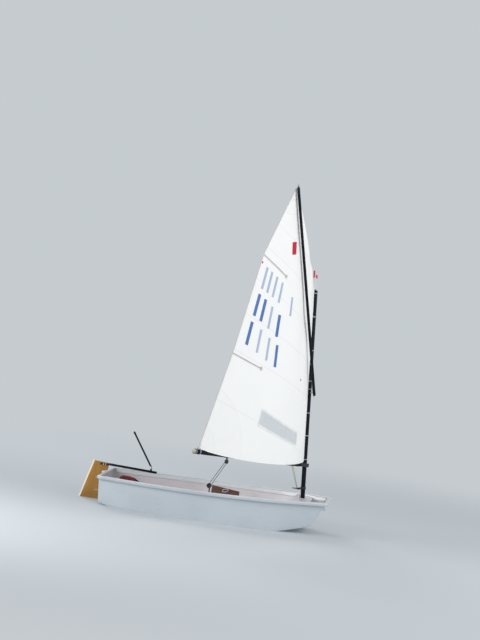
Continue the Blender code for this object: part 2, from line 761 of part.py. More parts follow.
def build_blocks_on_hull():
    """Make the mainsheet's lower block on the frame and the painter's eye at the bow."""
    x = fore((FRAME_AFT + FRAME_FORE) / 2)
    stem_half = FRAME_THICK / 2
    stem = block(
        "mainsheet_block_lower", (x - stem_half, -stem_half, up(CASE_TOP + SEAT)),
        (x + stem_half, stem_half, up(HULL_BLOCK_HEIGHT)), "black_plastic",
    )
    wheel = fore(BOARD_FROM_STERN - RUNNING - HULL_BLOCK_RADIUS)
    ends = [
        ((wheel, y, up(HULL_BLOCK_HEIGHT)), HULL_BLOCK_RADIUS) for y in (-HULL_BLOCK_HALF, HULL_BLOCK_HALF)
    ]
    boolean(stem, rod("tool_block_lower", ends, None), "UNION")

    face = SECTIONS[-1].at(EYE_HEIGHT, shift=SEAT + SKIN + HULL_SEAT).x
    lean = EYE_PLATE_HALF * math.tan(BOW_RAKE)
    low, high = up(EYE_HEIGHT - EYE_PLATE_HALF), up(EYE_HEIGHT + EYE_PLATE_HALF)
    rings = [
        [
            (face - lean, y, low), (face + lean, y, high),
            (face + lean + EYE_PLATE_THICK, y, high), (face - lean + EYE_PLATE_THICK, y, low),
        ]
        for y in (-EYE_PLATE_HALF, EYE_PLATE_HALF)
    ]
    eye = loft("painter_eye", rings, "bare_alloy")
    middle = face + EYE_LOOP_RADIUS / math.cos(BOW_RAKE) + HULL_SEAT
    loop = [((middle, y, up(EYE_HEIGHT)), EYE_LOOP_RADIUS) for y in (-EYE_LOOP_HALF, EYE_LOOP_HALF)]
    boolean(eye, rod("tool_painter_loop", loop, None), "UNION")
    off = middle + EYE_HOLE_RADIUS / 2
    hole = [((off, y, up(EYE_HEIGHT)), EYE_HOLE_RADIUS) for y in (-EYE_PLATE_HALF, EYE_PLATE_HALF)]
    boolean(eye, rod("cutter_painter_hole", hole, None, sides=16), "DIFFERENCE")


# Rudder, tiller and extension

RUDDER_AXIS = Vector((-math.sin(STERN_RAKE), 0.0, math.cos(STERN_RAKE)))


def rudder_matrix():
    """Give the rudder pivot's frame: its Z runs up the pins, its X ahead."""
    turn = Matrix.Rotation(-STERN_RAKE, 4, "Y")
    return Matrix.Translation((fore(PIVOT_FROM_STERN), 0.0, up(PIVOT_HEIGHT))) @ turn


def to_rudder(distance, height):
    """Give a point of the centreline in the rudder pivot's frame, as (ahead, up)."""
    point = rudder_matrix().inverted() @ Vector((fore(distance), 0.0, up(height)))
    return point.x, point.z


def build_rudder():
    """Make the blade with its head, the pintles on it and the gudgeons on the transom."""
    pivot = guide("rudder_pivot", rudder_matrix())
    outline = [to_rudder(*point) for point in RUDDER_HEAD]
    outline += [(-BLADE_SETBACK, height) for height in RUDDER_FRONT]
    outline += [to_rudder(*point) for point in RUDDER_FOOT]
    rings = [[(x, y, z) for x, z in outline] for y in (-BLADE_THICK / 2, BLADE_THICK / 2)]
    loft("rudder_blade", rings, "varnished_ash", pivot)

    cheek = BLADE_THICK / 2 + SEAT
    for word, middle in HINGES:
        build_pintle(pivot, word, middle, cheek)
        build_gudgeon(pivot, word, middle)
    build_tiller(pivot)


def build_pintle(pivot, word, middle, cheek):
    """Make a strap round the blade's front edge with a pin down through the gudgeon."""
    low = middle + GUDGEON_HEIGHT / 2 + SEAT
    high = low + PINTLE_HEIGHT
    wide = cheek + PINTLE_WALL
    strap = block(
        f"rudder_pintle_{word}", (-BLADE_SETBACK - PINTLE_LENGTH, -wide, low),
        (0.003, wide, high), "bare_alloy", pivot,
    )
    pin = [((0, 0, middle - PIN_DROP), PIN_RADIUS), ((0, 0, high - 0.002), PIN_RADIUS)]
    boolean(strap, rod(f"tool_pin_{word}", pin, None, pivot, sides=16), "UNION")
    slot = block(
        f"cutter_pintle_{word}", (-BLADE_SETBACK - PINTLE_LENGTH * 2, -cheek, low - 0.01),
        (-BLADE_SETBACK + SEAT, cheek, high + 0.01), None, pivot,
    )
    boolean(strap, slot, "DIFFERENCE")


def build_gudgeon(pivot, word, middle):
    """Make a plate on the transom with a tongue and an eye for the pin."""
    low, high = middle - GUDGEON_HEIGHT / 2, middle + GUDGEON_HEIGHT / 2
    s = SECTIONS[0]
    height = PIVOT_HEIGHT + middle
    face = s.at(height, shift=-SEAT - SKIN).x
    reach, _ = to_rudder(face - STERN_X, height)
    reach -= HULL_SEAT
    plate = block(
        f"transom_gudgeon_{word}", (reach - GUDGEON_THICK, -GUDGEON_HALF, low - GUDGEON_MARGIN),
        (reach, GUDGEON_HALF, high + GUDGEON_MARGIN), "bare_alloy", pivot,
    )
    root = reach - GUDGEON_THICK / 2
    tongue = block(f"tool_tongue_{word}", (0.0, -TONGUE_HALF, low), (root, TONGUE_HALF, high), None, pivot)
    boolean(plate, tongue, "UNION")
    eye = [((0, 0, low), EYE_RADIUS), ((0, 0, high), EYE_RADIUS)]
    boolean(plate, rod(f"tool_eye_{word}", eye, None, pivot, sides=20), "UNION")
    hole = PIN_RADIUS + PIN_PLAY / 2
    bore = [((0, 0, low - 0.01), hole), ((0, 0, high + 0.01), hole)]
    boolean(plate, rod(f"cutter_eye_{word}", bore, None, pivot, sides=16), "DIFFERENCE")


def build_tiller(pivot):
    """Make the tiller, the bracket that joins it to the head, and the extension."""
    start = Vector((*to_rudder(TILLER_FROM_STERN[0], TILLER_HEIGHT[0]), 0)).xzy
    end = Vector((*to_rudder(TILLER_FROM_STERN[1], TILLER_HEIGHT[1]), 0)).xzy
    run = (end - start).normalized()
    nose = TILLER_RADIUS - 0.002
    stops = [(start, TILLER_RADIUS), (end - run * 0.004, TILLER_RADIUS), (end, nose)]
    rod("tiller", stops, "black_spar", pivot)

    half = TILLER_RADIUS + BRACKET_WALL
    back = to_rudder(BRACKET_BACK, TILLER_HEIGHT[0])[0]
    ahead = to_rudder(BRACKET_AHEAD, TILLER_HEIGHT[0])[0]
    bracket = block(
        "tiller_bracket", (back, -half, start.z - half), (ahead, half, start.z + half), "bare_alloy", pivot,
    )
    cheek = BLADE_THICK / 2 + SEAT
    gap = block(
        "cutter_bracket_head", (back - 0.01, -cheek, start.z - 0.1),
        (start.x - SEAT, cheek, start.z + 0.1), None, pivot,
    )
    boolean(bracket, gap, "DIFFERENCE")
    bore = TILLER_RADIUS + SEAT
    bore_ends = [(start - run * SEAT, bore), (start + run * 0.1, bore)]
    boolean(bracket, rod("cutter_bracket_bore", bore_ends, None, pivot), "DIFFERENCE")
    build_extension(pivot)


def build_extension(pivot):
    """Make the saddle on the tiller, the turning fork and the tilting extension."""
    local = rudder_matrix().inverted()
    centre = Vector((fore(UNIVERSAL_FROM_STERN), 0.0, up(UNIVERSAL_HEIGHT)))
    x0, x1 = TILLER_FROM_STERN
    z0, z1 = TILLER_HEIGHT
    slope = (z1 - z0) / (x1 - x0)
    saddle_back = UNIVERSAL_FROM_STERN - SADDLE_RADIUS - x0
    tiller_top = z0 + slope * saddle_back + TILLER_RADIUS / math.cos(math.atan(slope)) + SEAT
    fork_foot = UNIVERSAL_HEIGHT - FORK_DROP - FORK_SOLE
    saddle = [
        (local @ Vector((centre.x, 0, up(tiller_top))), SADDLE_RADIUS),
        (local @ Vector((centre.x, 0, up(fork_foot - SEAT))), SADDLE_RADIUS),
    ]
    rod("extension_saddle", saddle, "bare_alloy", pivot, sides=16)

    turn = Matrix.Rotation(math.pi - EXTENSION_LEAN, 4, "Z")
    swing = guide("universal_pivot", local @ Matrix.Translation(centre) @ turn, pivot)
    stops = [((0, 0, fork_foot - UNIVERSAL_HEIGHT), FORK_RADIUS), ((0, 0, FORK_TOP), FORK_RADIUS)]
    fork = rod("universal_joint", stops, "bare_alloy", swing, sides=20)
    slot_half = TAB_HALF + PIN_PLAY
    slot = block("cutter_fork", (-0.03, -slot_half, -FORK_DROP), (0.03, slot_half, 0.03), None, swing)
    boolean(fork, slot, "DIFFERENCE")

    tilt = guide("extension_pivot", Matrix.Rotation(-EXTENSION_RISE, 4, "Y"), swing)
    knob, knob_radius = EXTENSION_LENGTH - EXTENSION_KNOB, EXTENSION_RADIUS + EXTENSION_KNOB_PROUD
    stops = [
        ((TAB_LENGTH, 0, 0), EXTENSION_RADIUS),
        ((knob, 0, 0), EXTENSION_RADIUS),
        ((knob + 0.004, 0, 0), knob_radius),
        ((EXTENSION_LENGTH, 0, 0), knob_radius),
    ]
    extension = rod("tiller_extension", stops, "black_spar", tilt, sides=16)
    arc_steps = 8
    tab_end = TAB_LENGTH + 0.01
    outline = [(tab_end, -TAB_RADIUS), (tab_end, TAB_RADIUS)]
    for k in range(arc_steps + 1):
        turn = math.pi / 2 + math.pi * k / arc_steps
        outline.append((TAB_RADIUS * math.cos(turn), TAB_RADIUS * math.sin(turn)))
    rings = [[(x, y, z) for x, z in outline] for y in (-TAB_HALF, TAB_HALF)]
    boolean(extension, loft("tool_tab", rings, None, tilt), "UNION")


def build_daggerboard():
    """Make the board, down in its case, with the cheeks that stop it there."""
    carrier = guide("daggerboard_slide", Matrix.Translation((fore(BOARD_FROM_STERN), 0.0, up(BOARD_TOP))))
    low = -BOARD_LENGTH
    outline = [
        (0.0, 0.0), (BOARD_WIDTH, 0.0), (BOARD_WIDTH, low + BOARD_CORNER),
        (BOARD_WIDTH - BOARD_CORNER, low), (BOARD_CORNER, low), (0.0, low + BOARD_CORNER),
    ]
    rings = [[(x, y, z) for x, z in outline] for y in (-BOARD_THICK / 2, BOARD_THICK / 2)]
    board = loft("daggerboard", rings, "dark_board", carrier)
    seat = CASE_TOP + SEAT - BOARD_TOP
    for side in (-1, 1):
        reach = side * (BOARD_THICK / 2 + CHEEK_THICK)
        root = side * (BOARD_THICK / 2 - 0.002)
        cheek = block(
            f"tool_cheek_{side}", (CHEEK_MARGIN, min(reach, root), seat),
            (BOARD_WIDTH - CHEEK_MARGIN, max(reach, root), seat + CHEEK_HEIGHT), None, carrier,
        )
        boolean(board, cheek, "UNION")


# Rig

def rig_matrix():
    """Give the rig's frame at the jaws: X out along the boom, Y to leeward, Z up the mast."""
    aft = Vector((-math.cos(RIG_SWING), -math.sin(RIG_SWING), 0.0))
    out = (aft - MAST_UP * aft.dot(MAST_UP)).normalized()
    leeward = MAST_UP.cross(out)
    turn = Matrix((out, leeward, MAST_UP)).transposed().to_4x4()
    return Matrix.Translation(mast_point(JAW_HEIGHT)) @ turn


def build_mast(rig):
    """Make the mast and the wind vane on its head."""
    local = rig_matrix().inverted()
    foot = local @ MAST_FOOT
    head = local @ MAST_HEAD
    edge = Vector((0, 0, MAST_EDGE))
    stops = [
        (foot, MAST_RADIUS - MAST_EDGE), (foot + edge, MAST_RADIUS),
        (head - edge, MAST_RADIUS), (head, MAST_RADIUS - MAST_EDGE),
    ]
    rod("mast", stops, "black_spar", rig, sides=32)

    stops = [
        (head + Vector((0, 0, lift)), radius) for lift, radius in (
            (SEAT, VANE_FOOT_RADIUS), (VANE_FOOT, VANE_FOOT_RADIUS),
            (VANE_FOOT + 0.002, VANE_STALK_RADIUS), (VANE_STALK, VANE_STALK_RADIUS),
        )
    ]
    vane = rod("wind_vane", stops, "vane_red", rig, sides=12)
    blade = [(0.055, -0.006), (0.105, 0.062), (0.030, 0.062), (-0.065, -0.004)]
    rings = [
        [(x, y, head.z + VANE_STALK + z) for x, z in blade] for y in (-VANE_THICK / 2, VANE_THICK / 2)
    ]
    boolean(vane, loft("tool_vane", rings, None, rig), "UNION")


def build_boom(rig):
    """Make the boom with its jaw, end cap and the mainsheet's upper block."""
    lift = guide("boom_line", Matrix.Rotation(-BOOM_LIFT, 4, "Y"), rig)
    stops = [
        ((JAW_REACH + SEAT, 0, 0), BOOM_RADIUS),
        ((BOOM_LENGTH - BOOM_CAP - SEAT, 0, 0), BOOM_RADIUS),
    ]
    rod("boom", stops, "black_spar", lift)
    stops = [
        ((BOOM_LENGTH - BOOM_CAP, 0, 0), BOOM_RADIUS + BOOM_CAP_PROUD),
        ((BOOM_LENGTH - 0.004, 0, 0), BOOM_RADIUS + BOOM_CAP_PROUD),
        ((BOOM_LENGTH, 0, 0), BOOM_RADIUS - 0.003),
    ]
    rod("boom_end_cap", stops, "bare_alloy", lift)

    half_wide = MAST_RADIUS + JAW_WALL
    jaw = block(
        "boom_jaw", (-half_wide - 0.004, -half_wide, -JAW_HALF_TALL),
        (JAW_REACH, half_wide, JAW_HALF_TALL), "black_plastic", lift,
    )
    hole = MAST_RADIUS + SEAT * 2
    bore = [((0, 0, -0.1), hole), ((0, 0, 0.1), hole)]
    boolean(jaw, rod("cutter_jaw_bore", bore, None, rig, sides=32), "DIFFERENCE")
    mouth = block("cutter_jaw_mouth", (-0.1, -hole * 0.8, -0.1), (0.0, hole * 0.8, 0.1), None, rig)
    boolean(jaw, mouth, "DIFFERENCE")

    x, top = SHEET_BLOCK_OUT, -BOOM_RADIUS - SEAT
    low = top - SHEET_BLOCK_DROP
    stem = block(
        "mainsheet_block_upper", (x - 0.006, -0.005, low), (x + 0.006, 0.005, top), "black_plastic", lift,
    )
    ends = [((x, y, low), SHEET_BLOCK_RADIUS) for y in (-SHEET_BLOCK_HALF, SHEET_BLOCK_HALF)]
    boolean(stem, rod("tool_block_upper", ends, None, lift), "UNION")


def build_vang_cleat(rig):
    """Make the cleat with its lever on the mast below the boom."""
    middle = -VANG_DROP
    ring = [((0, 0, middle + z), MAST_RADIUS + 0.005) for z in (-VANG_HALF_TALL, VANG_HALF_TALL)]
    cleat = rod("vang_cleat", ring, "black_plastic", rig)
    arm = block("tool_vang_arm", (0.020, -0.009, middle - 0.010), (0.100, 0.009, middle + 0.008), None, rig)
    boolean(cleat, arm, "UNION")
    outline = [(0.090, middle - 0.009), (0.205, middle + 0.010), (0.205, middle + 0.016), (0.090, middle + 0.006)]
    rings = [[(x, y, z) for x, z in outline] for y in (-0.007, 0.007)]
    boolean(cleat, loft("tool_vang_lever", rings, None, rig), "UNION")
    hole = MAST_RADIUS + SEAT * 2
    bore = [((0, 0, middle - 0.1), hole), ((0, 0, middle + 0.1), hole)]
    boolean(cleat, rod("cutter_vang_bore", bore, None, rig, sides=32), "DIFFERENCE")


def build_sprit(rig):
    """Make the sprit and the strop that holds its heel to the mast."""
    run = (SPRIT_TIP - SPRIT_HEEL).normalized()
    stops = [
        (SPRIT_HEEL, SPRIT_RADIUS * 0.55), (SPRIT_HEEL + run * 0.030, SPRIT_RADIUS),
        (SPRIT_TIP - run * 0.040, SPRIT_RADIUS), (SPRIT_TIP - run * 0.036, SPRIT_RADIUS * 0.5),
        (SPRIT_TIP, SPRIT_RADIUS * 0.5),
    ]
    rod("sprit", stops, "black_spar", rig, sides=20)

    middle = SPRIT_HEEL + run * STROP_ABOVE_HEEL
    axis = Vector((middle.x, middle.y, 0.0)).normalized()
    lean = run.dot(axis) / run.z
    reach = middle.dot(axis) - SPRIT_RADIUS * math.sqrt(1 + lean ** 2) - STROP_RADIUS * lean - SEAT
    ends = [
        (axis * length + Vector((0, 0, middle.z)), STROP_RADIUS) for length in (MAST_RADIUS + SEAT, reach)
    ]
    rod("sprit_strop", ends, "grey_plastic", rig, sides=12)


TACK = Vector((LUFF_OUT, 0.0, TACK_UP))
THROAT = Vector((LUFF_OUT, 0.0, (MAST_HEAD - mast_point(JAW_HEIGHT)).length - THROAT_BELOW_HEAD))


def leech_point(v):
    """Give the leech at a share of the sail's height."""
    for (v0, p0), (v1, p1) in zip(LEECH, LEECH[1:]):
        if v0 <= v <= v1:
            return p0.lerp(p1, (v - v0) / (v1 - v0))
    raise ValueError("outside the sail")


def sail_point(s, v):
    """Give the middle of the sail's cloth, s from luff to leech and v from foot to head."""
    point = TACK.lerp(THROAT, v).lerp(leech_point(v), s)
    bow = 4 * s * (1 - s)
    point.z += bow * HEAD_ROUND * v ** 4 - bow ** FOOT_SHAPE * FOOT_ROUND * (1 - v) ** 4
    point.y += BELLY * (1 - BELLY_LOSS_ALOFT * v) * math.sin(math.pi * s ** 0.8)
    return point


def grid_point(s, row):
    """Give the cloth where a row crosses a column; the rows by the window slant with it."""
    low, high = WINDOW_ROWS[2], WINDOW_ROWS[3]
    if row < low:
        slant = row / low
    else:
        slant = min(1.0, max(0.0, (WINDOW_SLANT_END - row) / (WINDOW_SLANT_END - high)))
    return sail_point(s, row + WINDOW_SLANT * (s - WINDOW_MIDDLE) * slant)


def sail_grid():
    """Give the shares at which the cloth is drawn, across and up."""
    columns = [k / SAIL_COLUMNS for k in range(SAIL_COLUMNS + 1)]
    top = WINDOW_ROWS[-1]
    count = SAIL_ROWS_ABOVE_WINDOW
    rows = list(WINDOW_ROWS) + [top + (1 - top) * (k + 1) / count for k in range(count)]
    return columns, rows


def build_cloth(name, rig, cells, finish_name, shrink):
    """Make one sheet of cloth from grid cells, its rim moved in by shrink."""
    columns, rows = sail_grid()
    corners = sorted({(i + a, j + b) for i, j in cells for a in (0, 1) for b in (0, 1)})
    low_i, high_i = min(c[0] for c in corners), max(c[0] for c in corners)
    low_j, high_j = min(c[1] for c in corners), max(c[1] for c in corners)
    bm = bmesh.new()
    faces = {}
    for side in (-1, 1):
        for i, j in corners:
            point = grid_point(columns[i], rows[j])
            if shrink:
                along = (grid_point(columns[high_i], rows[j]) - grid_point(columns[low_i], rows[j])).normalized()
                rise = (grid_point(columns[i], rows[high_j]) - grid_point(columns[i], rows[low_j])).normalized()
                point += along * shrink * ((i == low_i) - (i == high_i))
                point += rise * shrink * ((j == low_j) - (j == high_j))
            faces[(i, j, side)] = bm.verts.new(point + Vector((0, side * SAIL_THICK / 2, 0)))
    edges = {}
    for i, j in cells:
        loop = [(i, j), (i + 1, j), (i + 1, j + 1), (i, j + 1)]
        bm.faces.new([faces[(*c, 1)] for c in loop])
        bm.faces.new([faces[(*c, -1)] for c in reversed(loop)])
        for a, b in zip(loop, loop[1:] + loop[:1]):
            key = tuple(sorted((a, b)))
            edges[key] = edges.get(key, 0) + 1
    for (a, b), count in edges.items():
        if count == 1:
            bm.faces.new((faces[(*a, 1)], faces[(*b, 1)], faces[(*b, -1)], faces[(*a, -1)]))
    place(name, bm, finish_name, rig)


def build_sail(rig):
    """Make the sail round its window, the window and the two battens."""
    columns, rows = sail_grid()
    window = [
        (i, j) for i in range(*WINDOW_COLUMNS) for j in range(len(WINDOW_ROWS) - 1)
        if WINDOW_ROWS[j] >= WINDOW_ROWS[2]
    ]
    cloth = [(i, j) for i in range(SAIL_COLUMNS) for j in range(len(rows) - 1) if (i, j) not in window]
    build_cloth("sail", rig, cloth, "sailcloth", 0.0)
    build_cloth("sail_window", rig, window, "clear_film", SEAT * 2)
    for word, v, start in (("lower", 0.345, 0.72), ("upper", 0.725, 0.62)):
        build_batten(rig, word, v, start)


def drawn_point(s, v):
    """Give the middle of the cloth as its flat cells have it."""
    columns, rows = sail_grid()
    i = max(k for k in range(len(columns) - 1) if columns[k] <= s)
    j = max(k for k in range(len(rows) - 1) if rows[k] <= v)
    across = (s - columns[i]) / (columns[i + 1] - columns[i])
    rise = (v - rows[j]) / (rows[j + 1] - rows[j])
    low = grid_point(columns[i], rows[j]).lerp(grid_point(columns[i + 1], rows[j]), across)
    high = grid_point(columns[i], rows[j + 1]).lerp(grid_point(columns[i + 1], rows[j + 1]), across)
    return low.lerp(high, rise)


def build_batten(rig, word, v, start):
    """Make a batten along the leeward face, from inside the sail to the leech."""
    columns, _ = sail_grid()
    shares = [start] + [c for c in columns if c > start + 0.01 and c < 1.0] + [0.995]
    height = (drawn_point(start, 1.0) - drawn_point(start, 0.0)).length
    half = BATTEN_WIDTH / 2 / height
    near = Vector((0, SAIL_THICK / 2 + SOFT_SEAT * 0.8, 0))
    far = near + Vector((0, BATTEN_THICK, 0))
    rings = []
    for s in shares:
        low, high = drawn_point(s, v - half), drawn_point(s, v + half)
        rings.append([low + near, high + near, high + far, low + far])
    loft(f"batten_{word}", rings, "sailcloth", rig)


def smooth_round_pieces():
    """Shade the curved faces smooth and keep the corners sharp."""
    for obj in bpy.context.scene.objects:
        if obj.type == "MESH":
            obj.data.shade_smooth()
            obj.data.set_sharp_from_angle(angle=math.radians(35))


def main():
    """Build the whole boat."""
    for obj in list(bpy.data.objects):
        bpy.data.objects.remove(obj, do_unlink=True)
    build_shell()
    build_rail()
    build_case()
    build_midship_frame()
    build_mast_seat()
    build_bags()
    build_hiking_straps()
    build_bailer()
    build_blocks_on_hull()
    build_rudder()
    build_daggerboard()
    rig = guide("rig_pivot", rig_matrix())
    build_mast(rig)
    build_boom(rig)
    build_vang_cleat(rig)
    build_sprit(rig)
    build_sail(rig)
    smooth_round_pieces()


main()
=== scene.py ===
"""The looks of a small sprit-rigged dinghy, level and afloat, with its sail swung out.

Every size is in metres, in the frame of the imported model: +X to the bow, +Y to port,
+Z up, with the origin on the centreline at the waterline. Distances "from the stern"
start at the aft edge of the stern rail, and heights "above the keel" at the lowest
point of the bottom. The rig has a frame of its own at the boom's jaws: U runs out along
the boom, N to leeward and M up the mast.
"""
import logging
import math
from dataclasses import dataclass, field
from enum import Enum
from functools import reduce
from typing import Any, Callable, Sequence

import bmesh
import bpy
import numpy as np
from mathutils import Matrix, Vector


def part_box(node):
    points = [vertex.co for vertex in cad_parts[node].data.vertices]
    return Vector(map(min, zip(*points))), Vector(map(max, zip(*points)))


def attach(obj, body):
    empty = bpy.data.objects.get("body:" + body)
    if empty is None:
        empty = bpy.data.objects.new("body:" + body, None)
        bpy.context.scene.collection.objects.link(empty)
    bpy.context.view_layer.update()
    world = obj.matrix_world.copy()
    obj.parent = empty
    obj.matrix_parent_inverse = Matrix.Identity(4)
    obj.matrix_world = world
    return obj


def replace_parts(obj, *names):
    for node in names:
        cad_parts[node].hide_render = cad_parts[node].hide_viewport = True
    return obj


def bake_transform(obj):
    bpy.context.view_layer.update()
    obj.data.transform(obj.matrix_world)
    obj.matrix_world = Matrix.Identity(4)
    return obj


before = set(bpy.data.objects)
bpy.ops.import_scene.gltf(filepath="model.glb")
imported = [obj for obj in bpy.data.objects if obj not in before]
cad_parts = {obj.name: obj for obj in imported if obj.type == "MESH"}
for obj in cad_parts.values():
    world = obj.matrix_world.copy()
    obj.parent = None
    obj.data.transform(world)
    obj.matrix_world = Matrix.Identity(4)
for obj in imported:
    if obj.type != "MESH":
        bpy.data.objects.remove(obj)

LOG = logging.getLogger("dinghy")
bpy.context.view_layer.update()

Colour = tuple[float, float, float]
Point = Sequence[float]
Pair = tuple[float, float]

# The sockets of a Mix node that blends colours: factor, first and second, and its result
MIX_INPUTS = (0, 6, 7)
MIX_OUTPUT = 2


class Side(Enum):
    """The two sides of the boat."""

    PORT = 1
    STARBOARD = -1

    @property
    def word(self) -> str:
        """Return the side's name as the nodes spell it."""
        return self.name.lower()


class Body(Enum):
    """The bodies that pieces ride on."""

    HULL = "root"
    RUDDER = "rudder"
    UNIVERSAL = "universal"
    EXTENSION = "extension"
    BOARD = "board"
    RIG = "rig"


# Shader maths

class Wire:
    """A value in a material's node tree, to be used in sums and products."""

    def __init__(self, paint: "Paint", socket: bpy.types.NodeSocket) -> None:
        """Wrap the output socket that holds the value."""
        self.paint = paint
        self.socket = socket

    def _math(self, operation: str, *values: "Wire | float") -> "Wire":
        """Add a Math node that works on these values."""
        return self.paint.node("ShaderNodeMath", {"operation": operation}, dict(enumerate(values)))

    def __add__(self, other: "Wire | float") -> "Wire":
        """Return the sum."""
        return self._math("ADD", self, other)

    def __sub__(self, other: "Wire | float") -> "Wire":
        """Return the difference."""
        return self._math("SUBTRACT", self, other)

    def __rsub__(self, other: float) -> "Wire":
        """Return a number less this value."""
        return self._math("SUBTRACT", other, self)

    def __mul__(self, other: "Wire | float") -> "Wire":
        """Return the product."""
        return self._math("MULTIPLY", self, other)

    def __abs__(self) -> "Wire":
        """Return the size without its sign."""
        return self._math("ABSOLUTE", self)

    def __or__(self, other: "Wire | float") -> "Wire":
        """Return the larger of two masks."""
        return self._math("MAXIMUM", self, other)

    def sine(self) -> "Wire":
        """Return the sine."""
        return self._math("SINE", self)

    def root(self) -> "Wire":
        """Return the square root."""
        return self._math("SQRT", self)

    def step(self, low: float, high: float) -> "Wire":
        """Return a mask that rises smoothly from 0 at low to 1 at high."""
        settings = {"interpolation_type": "SMOOTHSTEP"}
        return self.paint.node("ShaderNodeMapRange", settings, {0: self, 1: low, 2: high})

    def within(self, half: float, soft: float) -> "Wire":
        """Return a mask that is 1 where the size of this value is below half."""
        return 1.0 - abs(self).step(half, half + soft)


class Paint:
    """A material being painted, node by node."""

    def __init__(self, name: str) -> None:
        """Start a material with its one shader."""
        self.material = bpy.data.materials.new(name)
        self.material.use_nodes = True
        self.tree = self.material.node_tree
        self.shader = self.tree.nodes["Principled BSDF"]

    def node(
        self,
        kind: str,
        settings: dict[str, Any] | None = None,
        inputs: dict[Any, Any] | None = None,
        output: str | int = 0,
    ) -> Wire:
        """Add any node.

        Args:
            kind: The node's type.
            settings: Its own settings, which are set first; "stops" fills a ramp.
            inputs: Values or wires for its sockets, by name or number.
            output: The output that is wanted.

        Returns:
            The wire from that output.
        """
        made = self.tree.nodes.new(kind)
        for key, value in (settings or {}).items():
            if key == "stops":
                self._fill_ramp(made.color_ramp, value)
            else:
                setattr(made, key, value)
        for key, value in (inputs or {}).items():
            self._connect(made.inputs[key], value)
        return Wire(self, made.outputs[output])

    def _fill_ramp(self, ramp: bpy.types.ColorRamp, stops: Sequence[tuple[float, Colour]]) -> None:
        """Set a ramp's stops."""
        while len(ramp.elements) < len(stops):
            ramp.elements.new(1.0)
        for element, (place, colour) in zip(ramp.elements, stops):
            element.position = place
            element.color = (*colour, 1.0)

    def _connect(self, socket: bpy.types.NodeSocket, value: Any) -> None:
        """Link a wire to a socket, or set its value."""
        if isinstance(value, Wire):
            self.tree.links.new(value.socket, socket)
        elif isinstance(value, (tuple, list)) and socket.type == "RGBA" and len(value) == 3:
            socket.default_value = (*value, 1.0)
        else:
            socket.default_value = value

    def set(self, **values: Any) -> "Paint":
        """Set the shader's sockets; a name's underscores stand for spaces."""
        for key, value in values.items():
            self._connect(self.shader.inputs[key.replace("_", " ")], value)
        return self

    def place(self) -> Wire:
        """Return the point on the object, which moves with it."""
        return self.node("ShaderNodeTexCoord", output="Object")

    def map(self, name: str) -> Wire:
        """Return the coordinates of a UV map."""
        return self.node("ShaderNodeUVMap", {"uv_map": name})

    def axes(self, vector: Wire) -> tuple[Wire, Wire, Wire]:
        """Split a vector into its three numbers."""
        split = self.node("ShaderNodeSeparateXYZ", None, {0: vector})
        outputs = split.socket.node.outputs
        return tuple(Wire(self, outputs[k]) for k in range(3))

    def stretch(self, vector: Wire, scale: Point) -> Wire:
        """Scale a vector by three numbers."""
        return self.node("ShaderNodeVectorMath", {"operation": "MULTIPLY"}, {0: vector, 1: tuple(scale)})

    def noise(self, scale: float, detail: float = 3.0, vector: Wire | None = None) -> Wire:
        """Return soft noise from 0 to 1."""
        where = vector or self.place()
        return self.node("ShaderNodeTexNoise", None, {"Vector": where, "Scale": scale, "Detail": detail})

    def blend(self, mask: Wire, low: Any, high: Any) -> Wire:
        """Go from one colour to another by a mask."""
        inputs = dict(zip(MIX_INPUTS, (mask, low, high)))
        return self.node("ShaderNodeMix", {"data_type": "RGBA"}, inputs, MIX_OUTPUT)

    def tones(self, mask: Wire, colour: Colour, low: float, high: float) -> Wire:
        """Go from a darker to a lighter tone of a colour by a mask."""
        return self.blend(mask, shade(colour, low), shade(colour, high))

    def off_line(self, across: Wire, up: Wire, low: Pair, high: Pair) -> Wire:
        """Return the distance from the straight line through two points of a plane.

        Args:
            across: The place across the plane.
            up: The place up the plane.
            low: The line's first point.
            high: The line's second point.

        Returns:
            The distance, with its sign.
        """
        run, rise = high[0] - low[0], high[1] - low[1]
        size = math.hypot(run, rise)
        offset = low[0] * rise / size - low[1] * run / size
        return across * (rise / size) - up * (run / size) - offset

    def bump(self, height: Wire, depth: float, strength: float = 1.0) -> "Paint":
        """Give the surface relief of a depth in metres."""
        inputs = {"Height": height, "Distance": depth, "Strength": strength}
        return self.set(Normal=self.node("ShaderNodeBump", None, inputs))


def shade(colour: Colour, factor: float) -> Colour:
    """Return a lighter or darker colour."""
    return tuple(min(1.0, channel * factor) for channel in colour)


# Finishes

@dataclass(frozen=True)
class Finish:
    """A finish, which is painted as one material."""

    name: str
    colour: Colour
    slot: str

    def coat(self, p: Paint) -> None:
        """Lay the finish's colour, gloss and relief on a new material."""
        raise NotImplementedError

    def paint(self) -> bpy.types.Material:
        """Return the material."""
        p = Paint(self.name)
        self.coat(p)
        return p.material


@dataclass(frozen=True)
class Gelcoat(Finish):
    """Moulded resin with a polished skin, dulled and scuffed by use."""

    slot: str = "hull_gelcoat"
    roughness: float = 0.30
    scuff: float = 0.35

    def coat(self, p: Paint) -> None:
        """Cloud the colour a little and scuff it along the hull."""
        cloudy = p.noise(scale=2.2, detail=4.0)
        scuffs = p.noise(scale=26.0, detail=8.0, vector=p.stretch(p.place(), (0.25, 1.0, 1.6)))
        scuffs = scuffs.step(0.56, 0.72) * self.scuff
        base = p.tones(cloudy.step(0.35, 0.70), self.colour, 0.95, 1.04)
        p.set(Base_Color=p.blend(scuffs, base, shade(self.colour, 0.82)))
        p.set(Roughness=scuffs * 0.25 + cloudy * 0.08 + (self.roughness - 0.04))
        p.set(Coat_Weight=0.35, Coat_Roughness=0.12)
        p.bump(p.noise(scale=9.0, detail=2.0), depth=0.0012, strength=0.35)


